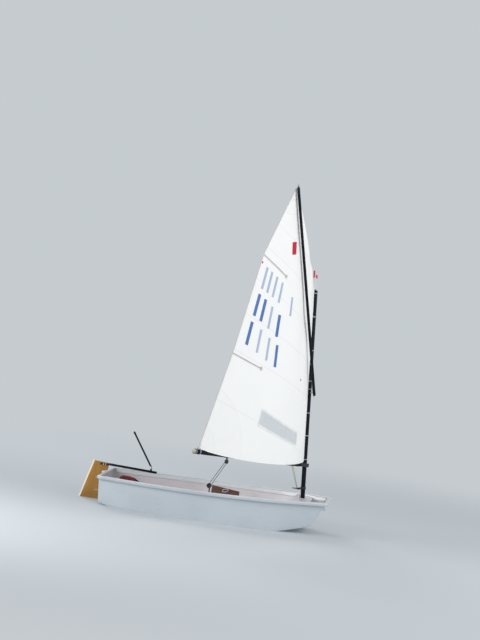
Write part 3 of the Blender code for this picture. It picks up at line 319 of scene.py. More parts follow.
@dataclass(frozen=True)
class RudderPly(Finish):
    """Varnished plywood: a pale strip of painted highlight down its trailing edge, darker where wet."""

    slot: str = "varnished_wood"
    grain: Point = (1.0, 1.0, 0.12)
    ring_count: float = 46.0
    trailing_low: Pair = (-1.403, -0.076)
    trailing_high: Pair = (-1.281, 0.388)
    # Half the width of the painted highlight down the trailing edge
    strip: float = 0.015
    wet_to: Pair = (0.02, 0.12)
    # The colour of the painted highlight down the trailing edge
    pale: Colour = (0.90, 0.82, 0.62)

    def coat(self, p: Paint) -> None:
        """Run the grain up the blade, then lay the painted highlight down the trailing edge and the wet part
        over it.
        """
        x, _, z = p.axes(p.place())
        along = p.stretch(p.place(), self.grain)
        flow = p.noise(scale=7.0, detail=5.0, vector=along)
        rings = (flow * self.ring_count).sine() * 0.5 + 0.5
        fibres = p.noise(scale=160.0, detail=4.0, vector=along)
        mask = rings * 0.5 + fibres * 0.5
        # Painted highlight: a pale strip where light catches the trailing edge
        edge = p.off_line(x, z, self.trailing_low, self.trailing_high).within(self.strip, 0.002)
        wet = 1.0 - z.step(*self.wet_to)
        wood = p.tones(mask, self.colour, 0.84, 1.08)
        wood = p.blend(wet * 0.35, wood, shade(self.colour, 0.55))
        p.set(Base_Color=p.blend(edge, wood, self.pale))
        p.set(Roughness=fibres * 0.12 + 0.26 - wet * 0.08, Coat_Weight=0.45, Coat_Roughness=0.10)
        p.bump(fibres, depth=0.0004, strength=0.4)


@dataclass(frozen=True)
class PaintedBoard(Finish):
    """A board under dark paint, rubbed pale in places."""

    slot: str = "dark_board"
    bare: Colour = (0.30, 0.22, 0.17)

    def coat(self, p: Paint) -> None:
        """Show the grain through the paint and the bare wood where it is rubbed."""
        grain = p.noise(scale=60.0, detail=5.0, vector=p.stretch(p.place(), (1.0, 1.0, 0.08)))
        wear = p.noise(scale=14.0, detail=6.0).step(0.58, 0.68) * 0.35
        p.set(Base_Color=p.blend(wear, p.tones(grain, self.colour, 0.75, 1.35), self.bare))
        p.set(Roughness=wear * 0.3 + 0.34, Coat_Weight=0.25)
        p.bump(grain, depth=0.0004, strength=0.5)


@dataclass(frozen=True)
class Anodised(Finish):
    """Dark anodised tube with fine lengthways scratches."""

    colour: Colour = (0.004, 0.006, 0.010)
    slot: str = "black_spar"
    dusty: Colour = (0.07, 0.08, 0.10)

    def coat(self, p: Paint) -> None:
        """Scratch and dust the tube."""
        marks = p.noise(scale=90.0, detail=6.0, vector=p.stretch(p.place(), (1.0, 1.0, 0.2)))
        marks = marks.step(0.60, 0.74)
        dust = p.noise(scale=6.0, detail=3.0)
        p.set(Base_Color=p.blend(marks * 0.3 + dust * 0.06, self.colour, self.dusty))
        p.set(Roughness=dust * 0.12 + 0.44, Specular_IOR_Level=0.12)
        p.bump(marks, depth=0.0002, strength=0.3)


@dataclass(frozen=True)
class Alloy(Finish):
    """Bare brushed alloy or steel, a little tarnished."""

    colour: Colour = (0.66, 0.67, 0.69)
    slot: str = "bare_alloy"
    roughness: float = 0.24

    def coat(self, p: Paint) -> None:
        """Brush the metal and stain it."""
        brushed = p.noise(scale=220.0, detail=3.0, vector=p.stretch(p.place(), (0.08, 1.0, 1.0)))
        stain = p.noise(scale=18.0, detail=5.0).step(0.45, 0.75)
        p.set(Base_Color=p.blend(stain, self.colour, shade(self.colour, 0.72)))
        p.set(Roughness=brushed * 0.16 + self.roughness, Metallic=1.0)
        p.bump(brushed, depth=0.0001, strength=0.5)


@dataclass(frozen=True)
class Moulded(Finish):
    """Moulded plastic with a fine grain."""

    roughness: float = 0.45
    wear: Colour | None = None

    def coat(self, p: Paint) -> None:
        """Grain the plastic and wear it in patches."""
        grain = p.noise(scale=420.0, detail=2.0)
        patches = p.noise(scale=22.0, detail=5.0).step(0.50, 0.72)
        worn = self.wear or shade(self.colour, 1.6)
        p.set(Base_Color=p.blend(patches * 0.35, self.colour, worn))
        p.set(Roughness=patches * 0.18 + self.roughness)
        p.bump(grain, depth=0.0002, strength=0.6)


@dataclass(frozen=True)
class Webbing(Finish):
    """Flat woven strap, its ribs across a UV map whose U runs along it in metres."""

    rib_rate: float = 2600.0
    cord_rate: float = 3400.0

    def coat(self, p: Paint) -> None:
        """Weave the strap and fade it."""
        along, across, _ = p.axes(p.map("cloth"))
        ribs = (along * self.rib_rate).sine() * 0.5 + 0.5
        cords = (across * self.cord_rate).sine() * 0.5 + 0.5
        weave = ribs * 0.6 + cords * 0.4
        base = p.tones(p.noise(scale=12.0, detail=4.0), self.colour, 0.8, 1.5)
        p.set(Base_Color=p.blend(weave, shade(self.colour, 0.55), base), Roughness=0.82, Sheen_Weight=0.25)
        p.bump(weave, depth=0.0005, strength=0.8)


@dataclass(frozen=True)
class Braid(Finish):
    """Braided rope, its strands on a UV map whose U runs along it in metres."""

    slot: str = "rope"
    fleck: Colour = (0.25, 0.28, 0.30)
    strand_rate: float = 900.0
    strand_turns: float = 12.566

    def coat(self, p: Paint) -> None:
        """Cross the strands and fleck some of them."""
        along, turn, _ = p.axes(p.map("cloth"))
        left = (along * self.strand_rate + turn * self.strand_turns).sine()
        right = (along * self.strand_rate - turn * self.strand_turns).sine()
        strands = abs(left * right)
        flecks = (left * 0.5 + 0.5).step(0.80, 0.95)
        base = p.blend(strands, shade(self.colour, 0.62), self.colour)
        p.set(Base_Color=p.blend(flecks * 0.5, base, self.fleck), Roughness=0.85, Sheen_Weight=0.2)
        p.bump(strands, depth=0.0006, strength=0.8)


@dataclass(frozen=True)
class CoatedCloth(Finish):
    """Air-bag cloth: a pale coated weave, grimy in places."""

    slot: str = "bag_vinyl"
    weave_rate: float = 1900.0

    def coat(self, p: Paint) -> None:
        """Crinkle the cloth and make it grimy."""
        x, _, z = p.axes(p.place())
        weave = ((x + z) * self.weave_rate).sine() * ((x - z) * self.weave_rate).sine()
        crinkle = p.noise(scale=16.0, detail=6.0)
        grime = p.noise(scale=3.0, detail=5.0).step(0.42, 0.75)
        p.set(Base_Color=p.blend(grime * 0.6, self.colour, shade(self.colour, 0.80)))
        p.set(Roughness=grime * 0.15 + 0.36, Coat_Weight=0.15)
        p.bump(crinkle * 0.9 + weave * 0.04, depth=0.004, strength=0.35)


@dataclass(frozen=True)
class Film(Finish):
    """Clear window film, faintly blue and a little scratched."""

    colour: Colour = (0.80, 0.85, 0.90)
    slot: str = "clear_film"

    def coat(self, p: Paint) -> None:
        """Leave the film clear but for its scratches."""
        marks = p.noise(scale=14.0, detail=4.0).step(0.45, 0.80)
        p.set(Base_Color=self.colour, Roughness=marks * 0.12 + 0.06, Alpha=marks * 0.06 + 0.12)
        p.set(Coat_Weight=0.5)
        p.bump(p.noise(scale=5.0, detail=2.0), depth=0.002, strength=0.3)


@dataclass(frozen=True)
class Seam:
    """A straight seam of the sail between two places of its flat plan."""

    luff: Pair
    leech: Pair


@dataclass(frozen=True)
class Patch:
    """Layers of cloth round a corner of the sail, as radii in its flat plan."""

    corner: Pair
    radii: tuple[float, ...]


@dataclass(frozen=True)
class SailCloth(Finish):
    """Crisp white sailcloth with its seams, corner layers and edge tape."""

    colour: Colour = (0.93, 0.925, 0.905)
    slot: str = "sailcloth"
    seams: tuple[Seam, ...] = ()
    patches: tuple[Patch, ...] = ()
    tape: Colour = (0.50, 0.42, 0.36)
    stitching: Colour = (0.50, 0.48, 0.46)
    seam_half: float = 0.0045
    layer_half: float = 0.003
    blur: float = 0.002
    tape_from: Pair = (0.9925, 0.9935)
    weave_rate: float = 5200.0

    def lines(self, p: Paint, u: Wire, m: Wire) -> tuple[Wire, Wire]:
        """Draw the seams and the corner layers.

        Args:
            p: The material being painted.
            u: How far out from the mast, in the flat plan.
            m: How far up, in the flat plan.

        Returns:
            A mask of the stitched lines, and how many corner layers lie there.
        """
        gaps, layers = [], []
        for seam in self.seams:
            gaps.append(p.off_line(u, m, seam.luff, seam.leech).within(self.seam_half, self.blur))
        for patch in self.patches:
            du, dm = u - patch.corner[0], m - patch.corner[1]
            reach = (du * du + dm * dm).root()
            for radius in patch.radii:
                gaps.append((reach - radius).within(self.layer_half, self.blur))
                layers.append(1.0 - reach.step(radius - self.blur, radius))
        return reduce(Wire.__or__, gaps), reduce(Wire.__add__, layers)

    def coat(self, p: Paint) -> None:
        """Draw the seams, layers and tape on the cloth and crinkle it."""
        flat = p.map("flat")
        u, m, _ = p.axes(flat)
        lines, layers = self.lines(p, u, m)
        share, _, _ = p.axes(p.map("share"))
        tape = share.step(*self.tape_from)
        weave = (u * self.weave_rate).sine() * 0.5 + (m * self.weave_rate).sine() * 0.5
        crinkle = p.noise(scale=24.0, detail=5.0, vector=flat)
        base = p.tones(p.noise(scale=2.4, detail=3.0, vector=flat), self.colour, 0.975, 1.02)
        base = p.blend(layers * 0.07, base, shade(self.colour, 0.80))
        base = p.blend(lines * 0.13, base, self.stitching)
        p.set(Base_Color=p.blend(tape * 0.75, base, self.tape))
        p.set(Roughness=crinkle * 0.12 + 0.56, Sheen_Weight=0.12)
        relief = crinkle * 0.5 + lines * 0.15 + layers * 0.12 + weave * 0.02
        p.bump(relief, depth=0.0022, strength=0.5)


@dataclass(frozen=True)
class StickyCloth(Finish):
    """Cloth or film stuck on the sail in one colour, also used for the painted show-through of the marks."""

    slot: str = "sailcloth"

    def coat(self, p: Paint) -> None:
        """Fade the colour a little."""
        fade = p.noise(scale=14.0, detail=4.0)
        p.set(Base_Color=p.tones(fade, self.colour, 0.9, 1.1), Roughness=fade * 0.15 + 0.45)
        p.bump(p.noise(scale=180.0, detail=2.0), depth=0.0003, strength=0.5)


class Locker:
    """The boat's finishes, each painted once."""

    def __init__(self) -> None:
        """Start with nothing painted."""
        self.painted: dict[str, bpy.types.Material] = {}

    def material(self, finish: Finish) -> bpy.types.Material:
        """Return a finish's material, which is painted when it is first wanted."""
        if finish.name not in self.painted:
            self.painted[finish.name] = finish.paint()
        return self.painted[finish.name]

    def dress(self, obj: bpy.types.Object, finish: Finish) -> bpy.types.Object:
        """Give a piece its finish.

        Args:
            obj: The piece.
            finish: The finish.

        Returns:
            The same piece.
        """
        obj.data.materials.clear()
        obj.data.materials.append(self.material(finish))
        LOG.info("dressed: %s", obj.name)
        return obj

    def fit(self, obj: bpy.types.Object, finish: Finish, body: Body) -> bpy.types.Object:
        """Dress a piece and let it ride on its body."""
        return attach(self.dress(obj, finish), body.value)

    def line(self, obj: bpy.types.Object, finish: Finish, chosen: Callable[[Any], bool]) -> None:
        """Give some of a dressed piece's faces a second finish.

        Args:
            obj: The piece.
            finish: The second finish, of the same slot.
            chosen: Says whether a face takes it.
        """
        obj.data.materials.append(self.material(finish))
        for polygon in obj.data.polygons:
            if chosen(polygon):
                polygon.material_index = 1


LOCKER = Locker()
OUTER_GEL = Gelcoat("gelcoat_outside", (0.58, 0.635, 0.675))
INNER_GEL = Gelcoat("gelcoat_inside", (0.62, 0.58, 0.60), roughness=0.40, scuff=0.5)
RAIL_GEL = Gelcoat("gelcoat_rail", (0.66, 0.69, 0.71), "rail", 0.32, 0.2)
# Painted shade: a darker copy of the white rail gelcoat for the rail's outward faces, which get less light
# from above than its top
RAIL_SHADE_GEL = Gelcoat("gelcoat_rail_painted_shade", (0.50, 0.555, 0.585), "rail", 0.34, 0.3)
RUDDER_PLY = RudderPly("rudder_ply", (0.375, 0.172, 0.015))
DARK_BOARD = PaintedBoard("dark_board", (0.115, 0.052, 0.036))
BLACK_TUBE = Anodised("black_tube")
BARE_ALLOY = Alloy("bare_alloy")
DULL_ALLOY = Alloy("dull_alloy", (0.36, 0.33, 0.27), roughness=0.42)
BRIGHT_ALLOY = Alloy("bright_alloy", (0.90, 0.91, 0.92), roughness=0.34)
BRASSY = Alloy("boom_end_alloy", (0.33, 0.32, 0.25), roughness=0.44)
BLACK_PLASTIC = Moulded("black_plastic", (0.012, 0.012, 0.014), "black_plastic", 0.48)
GREY_PLASTIC = Moulded("grey_plastic", (0.50, 0.52, 0.55), "grey_plastic", 0.42)
PALE_PLASTIC = Moulded("pale_plastic", (0.70, 0.70, 0.68), "grey_plastic", 0.40)
RED_PLASTIC = Moulded("red_plastic", (0.150, 0.006, 0.018), "red_plastic", 0.50, (0.20, 0.020, 0.032))
VANE_RED = Moulded("vane_red", (0.52, 0.03, 0.03), "vane_red", 0.40)
BLUE_STRAP = Webbing("blue_strap", (0.035, 0.075, 0.28), "blue_webbing")
BLACK_STRAP = Webbing("black_strap", (0.020, 0.020, 0.024), "black_webbing")
WHITE_CORD = Braid("white_cord", (0.72, 0.72, 0.70), fleck=(0.10, 0.18, 0.45))
DARK_CORD = Braid("dark_cord", (0.035, 0.045, 0.050), fleck=(0.25, 0.28, 0.30))
LIME_CORD = Braid("lime_cord", (0.42, 0.46, 0.12), fleck=(0.10, 0.14, 0.05))
TAN_CORD = Braid("tan_cord", (0.46, 0.40, 0.28), fleck=(0.25, 0.20, 0.12))
BAG_CLOTH = CoatedCloth("bag_cloth", (0.66, 0.65, 0.66))
WINDOW_FILM = Film("window_film")
BLUE_MARK = StickyCloth("blue_mark", (0.075, 0.17, 0.44))
# Painted light: a bar's print on the far face, as light from behind shows it through the cloth
SHOW_THROUGH_MARK = StickyCloth("painted_show_through_mark", (0.42, 0.50, 0.66))
RED_MARK = StickyCloth("red_mark", (0.52, 0.012, 0.045))
TAPE_CLOTH = StickyCloth("tape_cloth", (0.82, 0.82, 0.81))
BATTEN_EDGE = StickyCloth("batten_edge", (0.36, 0.33, 0.30))
BATTEN_PATCH = StickyCloth("batten_patch", (0.52, 0.49, 0.45))


# Mesh making

QUARTER = tuple(math.pi / 2 * k / 4 for k in range(5))


def full_turn(count: int) -> list[float]:
    """Return the angles of one full turn in equal steps, its end among them."""
    return [2 * math.pi * k / count for k in range(count + 1)]


def smooth(mesh: bpy.types.Mesh, angle: float) -> None:
    """Smooth a mesh but for its edges that are sharper than an angle in degrees."""
    mesh.shade_smooth()
    mesh.set_sharp_from_angle(angle=math.radians(angle))


def link(name: str, bm: bmesh.types.BMesh, angle: float = 35.0) -> bpy.types.Object:
    """Turn a bmesh into a named object, smooth but for its sharp edges.

    Args:
        name: The piece's name.
        bm: The mesh, which is freed.
        angle: Edges sharper than this stay sharp, in degrees.

    Returns:
        The new object.
    """
    mesh = bpy.data.meshes.new(name)
    bm.to_mesh(mesh)
    bm.free()
    smooth(mesh, angle)
    obj = bpy.data.objects.new(name, mesh)
    bpy.context.collection.objects.link(obj)
    return obj


def settle(obj: bpy.types.Object, angle: float = 35.0) -> bpy.types.Object:
    """Apply a piece's modifiers and smooth what they made.

    Args:
        obj: The piece.
        angle: Edges sharper than this stay sharp, in degrees.

    Returns:
        The same piece, with no modifiers.
    """
    bpy.context.view_layer.update()
    evaluated = obj.evaluated_get(bpy.context.evaluated_depsgraph_get())
    mesh = bpy.data.meshes.new_from_object(evaluated)
    obj.modifiers.clear()
    obj.data = mesh
    smooth(mesh, angle)
    return obj


def skin(
    name: str,
    rings: Sequence[Sequence[Point]],
    closed: bool = True,
    caps: bool = True,
    angle: float = 35.0,
) -> bpy.types.Object:
    """Skin rows of points of equal count, in order.

    Args:
        name: The piece's name.
        rings: The rows of points.
        closed: True if each row is a closed ring.
        caps: True to fill the first and last ring.
        angle: Edges sharper than this stay sharp, in degrees.

    Returns:
        The new object.
    """
    bm = bmesh.new()
    rows = [[bm.verts.new(point) for point in ring] for ring in rings]
    count = len(rows[0])
    last = count if closed else count - 1
    for lower, upper in zip(rows, rows[1:]):
        for i in range(last):
            j = (i + 1) % count
            bm.faces.new((lower[i], lower[j], upper[j], upper[i]))
    if caps:
        bm.faces.new(rows[0][::-1])
        bm.faces.new(rows[-1])
    bmesh.ops.recalc_face_normals(bm, faces=bm.faces)
    return link(name, bm, angle)


def round_corners(
    points: Sequence[Vector], radii: Sequence[float], steps: int, closed: bool,
) -> list[Vector]:
    """Round the corners of a flat line of points.

    Args:
        points: The corners, in order, as 2-D vectors.
        radii: A radius for each corner, 0 to keep it.
        steps: How many runs make each arc.
        closed: True if the last point joins the first.

    Returns:
        The points with an arc of steps + 1 points for each rounded corner.
    """
    made: list[Vector] = []
    count = len(points)
    for i, (corner, radius) in enumerate(zip(points, radii)):
        open_end = not closed and i in (0, count - 1)
        if radius <= 0 or open_end:
            made.append(corner.copy())
            continue
        back = (points[i - 1] - corner).normalized()
        ahead = (points[(i + 1) % count] - corner).normalized()
        half = math.acos(max(-1.0, min(1.0, back.dot(ahead)))) / 2
        run = radius / math.tan(half)
        middle = corner + (back + ahead).normalized() * (radius / math.sin(half))
        first, last = corner + back * run - middle, corner + ahead * run - middle
        sweep = first.angle_signed(last) if first.length and last.length else 0.0
        made += [middle + Matrix.Rotation(-sweep * k / steps, 2) @ first for k in range(steps + 1)]
    return made


def rounded_plate(corners: Sequence[Point], radius: float) -> list[Vector]:
    """Return a closed outline with all its corners rounded alike."""
    return round_corners([Vector(corner) for corner in corners], [radius] * len(corners), 3, True)


def heading(points: Sequence[Vector], i: int) -> Vector:
    """Return the way that a line of points runs at one of them."""
    return (points[min(i + 1, len(points) - 1)] - points[max(i - 1, 0)]).normalized()


def lengths_along(path: Sequence[Point]) -> list[float]:
    """Return the length of a path up to each of its points."""
    lengths = [0.0]
    for a, b in zip(path, path[1:]):
        lengths.append(lengths[-1] + (Vector(b) - Vector(a)).length)
    return lengths


def path_frames(path: Sequence[Point]) -> list[tuple[Vector, Vector, Vector]]:
    """Give a point and two directions across the line at each point of a path."""
    points = [Vector(p) for p in path]
    frames = []
    across = None
    for i, point in enumerate(points):
        run = heading(points, i)
        if across is None:
            helper = Vector((0, 0, 1)) if abs(run.z) < 0.9 else Vector((1, 0, 0))
            across = run.cross(helper).normalized()
        across = (across - run * across.dot(run)).normalized()
        frames.append((point, across, run.cross(across)))
    return frames


def ring_round(middle: Vector, across: Vector, along: Vector, radius: float, sides: int) -> list[Vector]:
    """Return a ring of points round a middle, in the plane of two directions."""
    return [middle + (across * math.cos(t) + along * math.sin(t)) * radius for t in full_turn(sides)[:-1]]


def tube(
    name: str,
    path: Sequence[Point],
    radius: float | Callable[[float], float],
    sides: int = 16,
) -> bpy.types.Object:
    """Make a round bar or rope along a path, with a UV map of its length and turn.

    Args:
        name: The piece's name.
        path: The points of its middle line.
        radius: Its radius, or a function of the share of its length.
        sides: How many sides it has.

    Returns:
        The new object.
    """
    rings = []
    lengths = lengths_along(path)
    for (point, across, along), length in zip(path_frames(path), lengths):
        size = radius(length / lengths[-1]) if callable(radius) else radius
        rings.append(ring_round(point, across, along, size, sides))
    obj = skin(name, rings, angle=50.0)
    mesh = obj.data
    layer = mesh.uv_layers.new(name="cloth")
    for polygon in mesh.polygons:
        corners = [mesh.loops[k].vertex_index for k in polygon.loop_indices]
        turns = [v % sides for v in corners]
        wraps = max(turns) - min(turns) > sides / 2
        for loop, vertex, turn in zip(polygon.loop_indices, corners, turns):
            share = (turn + sides if wraps and turn < sides / 2 else turn) / sides
            layer.data[loop].uv = (lengths[vertex // sides], share)
    return obj


def rounded_rod(
    name: str, start: Vector, end: Vector, radius: float, edge: float, sides: int = 40,
) -> bpy.types.Object:
    """Make a straight bar with rounded ends.

    Args:
        name: The piece's name.
        start: The middle of its first end.
        end: The middle of its last end.
        radius: Its radius.
        edge: The radius of its rounded rims.
        sides: How many sides it has.

    Returns:
        The new object.
    """
    run = (end - start).normalized()
    size = (end - start).length
    stops = [(edge - edge * math.cos(t), radius - edge + edge * math.sin(t)) for t in QUARTER]
    stops += [(size - place, r) for place, r in reversed(stops)]
    _, across, along = path_frames([start, end])[0]
    rings = [ring_round(start + run * place, across, along, r, sides) for place, r in stops]
    return skin(name, rings, angle=50.0)


def soften(node: str, name: str, width: float, segments: int = 3) -> bpy.types.Object:
    """Copy a hard node with its edges rounded, and let the copy stand for it.

    Args:
        node: The CAD node.
        name: The new piece's name.
        width: How far each edge is rounded.
        segments: How many faces make the rounding.

    Returns:
        The new object.
    """
    bm = bmesh.new()
    bm.from_mesh(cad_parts[node].data)
    bmesh.ops.remove_doubles(bm, verts=bm.verts, dist=1e-5)
    bmesh.ops.dissolve_limit(
        bm, angle_limit=math.radians(1.0), verts=bm.verts, edges=bm.edges, use_dissolve_boundaries=False,
    )
    obj = link(name, bm)
    round_edges(obj, width, segments, 30.0)
    settle(obj, 40.0)
    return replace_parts(obj, node)


def round_edges(obj: bpy.types.Object, width: float, segments: int, angle: float) -> None:
    """Round a piece's sharp edges with a bevel.

    Args:
        obj: The piece.
        width: How far each edge is rounded.
        segments: How many faces make the rounding.
        angle: Edges sharper than this are rounded, in degrees.
    """
    bevel = obj.modifiers.new("round", "BEVEL")
    bevel.width = width
    bevel.segments = segments
    bevel.limit_method = "ANGLE"
    bevel.angle_limit = math.radians(angle)


def thicken(obj: bpy.types.Object, thick: float, offset: float) -> None:
    """Give a sheet its thickness: offset -1 puts it behind its faces, 0 on both sides."""
    body = obj.modifiers.new("thickness", "SOLIDIFY")
    body.thickness = thick
    body.offset = offset


def strap_piece(
    name: str, middle: Sequence[Vector], normals: Sequence[Vector], width: float, thick: float,
) -> bpy.types.Object:
    """Make a flat strap along a line, with a UV map of its length and width.

    Args:
        name: The piece's name.
        middle: The line along its underside.
        normals: The way its top faces, at each point.
        width: Its width.
        thick: Its thickness.

    Returns:
        The new object.
    """
    lengths = lengths_along(middle)
    half, edge = width / 2, thick / 2
    outline = (
        (-half + edge, 0.0), (half - edge, 0.0), (half, edge),
        (half - edge, thick), (-half + edge, thick), (-half, edge),
    )
    rings = []
    for i, (point, normal) in enumerate(zip(middle, normals)):
        run = heading(middle, i)
        rise = (normal - run * normal.dot(run)).normalized()
        across = run.cross(rise)
        rings.append([point + across * a + rise * t for a, t in outline])
    obj = skin(name, rings, angle=50.0)
    layer = obj.data.uv_layers.new(name="cloth")
    for loop in obj.data.loops:
        row, corner = divmod(loop.vertex_index, len(outline))
        layer.data[loop.index].uv = (lengths[row], outline[corner][0])
    return obj


# Hull

@dataclass
class HullForm:
    """The hull's lines."""

    stern_x: float = -1.15
    keel_z: float = -0.09
    length: float = 2.32
    skin: float = 0.009
    seat: float = 0.0003
    sheer_stern: float = 0.384
    sheer_middle: float = 0.398
    sheer_bow: float = 0.437
    keel_low: float = 1.05
    rise_stern: float = 0.117
    rise_bow: float = 0.175
    stern_rake: float = math.radians(3.5)
    bow_rake: float = math.radians(25.0)
    rail_end: float = 0.018
    plan: tuple[tuple[float, float, float], ...] = (
        (0.00, 0.440, 0.390),
        (0.27, 0.523, 0.440),
        (0.48, 0.543, 0.450),
        (0.75, 0.470, 0.385),
        (1.00, 0.278, 0.220),
    )

    def __post_init__(self) -> None:
        """Work out where the shell starts and ends."""
        self.start = self.rail_end + self.skin + self.seat
        self.end = self.length - self.start
        self.bottom_start = self.start + (self.sheer_stern - self.rise_stern) * math.tan(self.stern_rake)
        self.bottom_end = self.end - (self.sheer_bow - self.rise_bow) * math.tan(self.bow_rake)

    def fore(self, distance: float) -> float:
        """Return the X of a distance from the stern."""
        return self.stern_x + distance

    def up(self, height: float) -> float:
        """Return the Z of a height above the keel."""
        return self.keel_z + height

    def read(self, column: int, share: float) -> float:
        """Read a column of the plan on a smooth curve."""
        rows = self.plan
        i = max(k for k in range(len(rows) - 1) if rows[k][0] <= share)
        slopes = []
        for k in (i, i + 1):
            low, high = rows[max(k - 1, 0)], rows[min(k + 1, len(rows) - 1)]
            slopes.append((high[column] - low[column]) / (high[0] - low[0]))
        span = rows[i + 1][0] - rows[i][0]
        t = (share - rows[i][0]) / span
        rest = 1 - t
        value = rows[i][column] * (1 + 2 * t) * rest ** 2 + slopes[0] * span * t * rest ** 2
        return value + rows[i + 1][column] * t * t * (3 - 2 * t) - slopes[1] * span * t * t * rest

    def sheer(self, distance: float) -> float:
        """Return the rail's top above the keel."""
        t = distance / self.length
        ends = self.sheer_stern * (1 - t) * (1 - 2 * t) + self.sheer_bow * t * (2 * t - 1)
        return ends + 4 * self.sheer_middle * t * (1 - t)

    def keel(self, distance: float) -> float:
        """Return the bottom's outside above the keel's lowest point."""
        run = distance - self.keel_low
        if run < 0:
            return self.rise_stern * (run / self.keel_low) ** 2
        return self.rise_bow * (run / (self.bottom_end - self.keel_low)) ** 2

    def at(
        self, share: float, height: float, side: int = 1, inset: float = 0.0, shift: float = 0.0,
    ) -> Vector:
        """Return a point on the side of a slanted section.

        Args:
            share: The section's place, 0 at the stern and 1 at the bow.
            height: Above the keel's lowest point.
            side: 1 for port, -1 for starboard.
            inset: How far inside the skin's outside.
            shift: How far ahead of the section.

        Returns:
            The point.
        """
        keel_at, sheer_at = self.stations(share)
        low, high = self.keel(keel_at), self.sheer(sheer_at)
        lift = (height - low) / (high - low)
        flat, beam = self.read(2, share), self.read(1, share)
        distance = keel_at + (sheer_at - keel_at) * lift + shift
        return Vector((self.fore(distance), side * (flat + (beam - flat) * lift - inset), self.up(height)))

    def stations(self, share: float) -> Pair:
        """Return how far from the stern a slanted section meets the bottom and the sheer."""
        keel_at = self.bottom_start + share * (self.bottom_end - self.bottom_start)
        return keel_at, self.start + share * (self.end - self.start)

    def section_ends(self, share: float) -> Pair:
        """Return a section's lowest and highest height above the keel."""
        keel_at, sheer_at = self.stations(share)
        return self.keel(keel_at), self.sheer(sheer_at)

    def share_at(self, distance: float, height: float) -> float:
        """Return the share of the section that passes a place."""
        low, high = 0.0, 1.0
        for _ in range(40):
            middle = (low + high) / 2
            if self.at(middle, height).x < self.fore(distance):
                low = middle
            else:
                high = middle
        return (low + high) / 2

    def inside(self, distance: float, height: float) -> float:
        """Return the half width between the side skins."""
        return self.at(self.share_at(distance, height), height, inset=self.skin).y

    def floor(self, distance: float) -> float:
        """Return the top of the bottom skin above the keel."""
        return self.keel(distance) + self.skin


